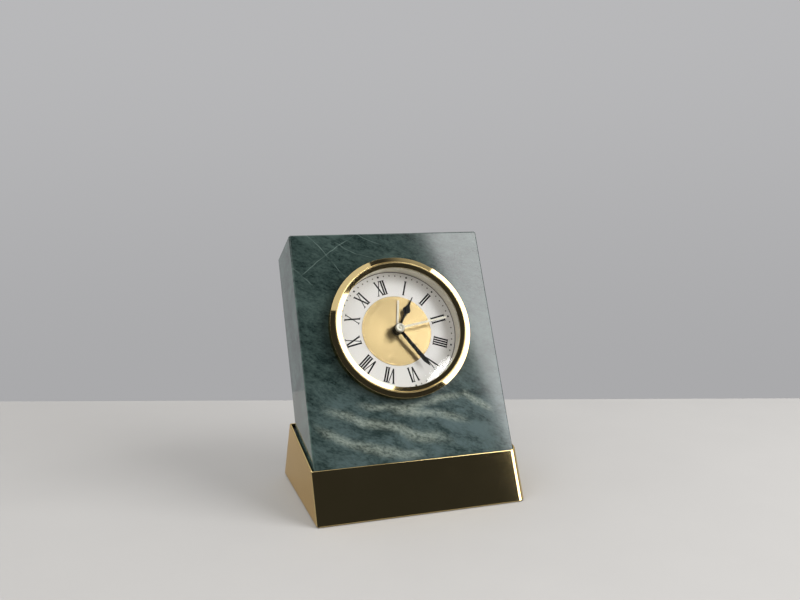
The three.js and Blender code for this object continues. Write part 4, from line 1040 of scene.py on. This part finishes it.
def finger_ribs(name, node, body, finish, slot, boxes, rise):
    """Bevelled ribs on the back of a CAD node; boxes are (x, y, width, height) in mm from its middle."""
    low, high = flat_box(node)
    middle = (low + high) / 2
    outlines = []
    for x, y, width, height in boxes:
        left, right = middle.x + (x - width / 2) * MM, middle.x + (x + width / 2) * MM
        foot, top = middle.y + (y - height / 2) * MM, middle.y + (y + height / 2) * MM
        outlines.append(rectangle(left, right, foot, top))
    piece = plate_group(name, outlines, low.z - rise, low.z + SUNK)
    break_edges(piece, RIB_EDGE, 40)
    settle(piece, DIAL, finish, body, slot)


def arrow_outline(node, start, end):
    """A bent arrow round the middle of a knob, from one angle to another, with radii in mm."""
    low, high = flat_box(node)
    middle = (low + high) / 2

    def at(radius, angle):
        turn = math.radians(angle)
        return middle.x + radius * MM * math.cos(turn), middle.y + radius * MM * math.sin(turn)

    angles = [start + (end - start) * i / 12 for i in range(13)]
    tip = end + math.copysign(TIP_ANGLE, end - start)
    outside = [at(ARROW_OUT, angle) for angle in angles]
    inside = [at(ARROW_IN, angle) for angle in reversed(angles)]
    return outside + [at(TIP_OUT, end), at(TIP_MIDDLE, tip), at(TIP_IN, end)] + inside


cover_low, cover_high = flat_box("rear_cover")
cover_back, COVER = cover_low.z, cover_high.y
raised_ring("cover_rim", COVER - 2.4 * MM, COVER - 0.6 * MM, 0.7 * MM, DIAL)
raised_ring("sound_ring", 6.4 * MM, 7.3 * MM, 0.5 * MM, DIAL @ SOUND_PLACE)
door_boxes = [(0, y, 14, 0.7) for y in (-5.0, -3.6, -2.2, -0.8, 0.6)]
finger_ribs("door_ribs", "battery_door", "door", plastic, "black_plastic", door_boxes, 0.45 * MM)
switch_boxes = [(x, 0, 0.5, 3.2) for x in (-1.2, 0, 1.2)]
white = slot_finishes["white_plastic"]
finger_ribs("switch_ribs", "alarm_switch", "alarm_slider", white, "white_plastic", switch_boxes, 0.35 * MM)
arrow_outlines = [arrow_outline("time_set_knob", 35, 135), arrow_outline("alarm_set_knob", 145, 45)]
arrows = plate_group("turn_arrows", arrow_outlines, cover_back - ARROW_RISE, cover_back + ARROW_SUNK)
settle(arrows, DIAL, white, "insert", "white_plastic")

# %% [markdown]
# ## The table
# The clock stands on a pale table top whose far edge is a little behind it. It is a plane, turned with the
# camera, so that the far edge runs level across the picture.

# %% Table top
TABLE_TURN = math.radians(18.34)
TABLE_WIDE, TABLE_DEEP, FAR_EDGE = 5, 3, 0.737
look = Vector((math.sin(TABLE_TURN), math.cos(TABLE_TURN), 0))
bpy.ops.object.select_all(action="DESELECT")
bpy.ops.mesh.primitive_plane_add(size=1)
table = bpy.context.object
table.name = table.data.name = "table_top"
table.scale = (TABLE_WIDE, TABLE_DEEP, 1)
table.rotation_euler = (0, 0, -TABLE_TURN)
camera_foot = Vector((camera.location.x, camera.location.y, 0))
table.location = camera_foot + look * (FAR_EDGE - TABLE_DEEP / 2)
bpy.ops.object.transform_apply(location=True, rotation=True, scale=True)
pale_paint = ((0.365, 0.355, 0.345), (0.395, 0.385, 0.372))
table.data.materials.append(lacquer("table_paint", *pale_paint, 0.70, 0.0, 12, 0.25))
print("table corner at", [round(value, 3) for value in table.data.vertices[0].co])

# %% [markdown]
# ## The lamps
# A large soft box at the front right gives the broad reflection in the stone and on the bezel. A wide weak
# panel overhead and a fill from the left, which gloss doesn't mirror, lighten the shadows, and a small
# lamp gives the glint on the lens. Their places were worked out from what the bezel and the stone reflect.


# %% Lamps
def soft_light(name, azimuth, elevation, distance, size, power, target, roll=0):
    """A rectangular lamp, seen from the target at an elevation and at an azimuth right of the front."""
    lamp = bpy.data.lights.new(name, "AREA")
    lamp.shape = "RECTANGLE"
    lamp.size, lamp.size_y = size
    lamp.energy = power
    holder = bpy.data.objects.new(name, lamp)
    holder.visible_camera = False
    bpy.context.scene.collection.objects.link(holder)
    a, e = math.radians(azimuth), math.radians(elevation)
    towards = Vector((math.sin(a) * math.cos(e), -math.cos(a) * math.cos(e), math.sin(e)))
    holder.location = Vector(target) + towards * distance
    facing = (-towards).to_track_quat("-Z", "Y").to_matrix() @ Matrix.Rotation(math.radians(roll), 3, "Z")
    holder.rotation_euler = facing.to_euler()
    return holder


CLOCK_MIDDLE, LENS_PLACE, CEILING_PLACE = (0, 0, 0.1), (0.03, -0.02, 0.085), (-1.035, 0.14, 0.1)
soft_light("soft_box", 52, 29, 1.3, (0.896, 1.34), 24, CLOCK_MIDDLE, -11.3)
soft_light("ceiling_panel", 0, 90, 1.2, (2.33, 2.2), 15.5, CEILING_PLACE)
fill_panel = soft_light("fill_panel", -40, 40, 1.4, (1.0, 1.0), 6, CLOCK_MIDDLE)
fill_panel.visible_glossy = False
catch_light = soft_light("catch_light", 24.5, 33.75, 1.3, (0.072, 0.013), 0.075, LENS_PLACE, 28)
catch_light.data.shape = "ELLIPSE"
print("lamps:", len(bpy.data.lights))

# %% [markdown]
# ## The studio
# The room is grey and grows brighter overhead. Its front is dark, which is what the gold base mirrors. The
# camera sees a plain grey backdrop, and gloss mirrors that backdrop too where it faces the room behind.

# %% World
scene = bpy.context.scene
world = bpy.data.worlds.new("studio")
scene.world = world
world.use_nodes = True
sky = world.node_tree
background = sky.nodes["Background"]
direction = Wire(sky, sky.nodes.new("ShaderNodeTexCoord").outputs["Generated"])
seen = direction.node("LightPath", None, None, "Is Camera Ray")
mirrored_ray = direction.node("LightPath", None, None, "Is Glossy Ray")
through_ray = direction.node("LightPath", None, None, "Is Transmission Ray")
forwards = direction.node("SeparateXYZ", None, {0: direction}, 1)
height = direction.node("SeparateXYZ", None, {0: direction}, 2)
dark_front = ramp(forwards, -0.12, -0.22) * ramp(height, 0.985, 0.955)
studio = blend_colours(ramp(height, 0.25, 0.80), (0.46, 0.46, 0.465, 1), (1.0, 1.0, 1.0, 1))
studio = blend_colours(dark_front, studio, (0.039, 0.041, 0.044, 1))
backdrop = blend_colours(ramp(height, -0.25, 0.22), (0.40, 0.40, 0.41, 1), (0.48, 0.48, 0.49, 1))
behind = ramp(forwards, -0.22, -0.12) * ramp(height, 0.80, 0.25)
shown = blend_colours(seen + (mirrored_ray + through_ray) * behind, studio, backdrop)
sky.links.new(shown.socket, background.inputs["Color"])
scene.view_settings.view_transform = "Standard"
print("studio nodes:", len(sky.nodes))
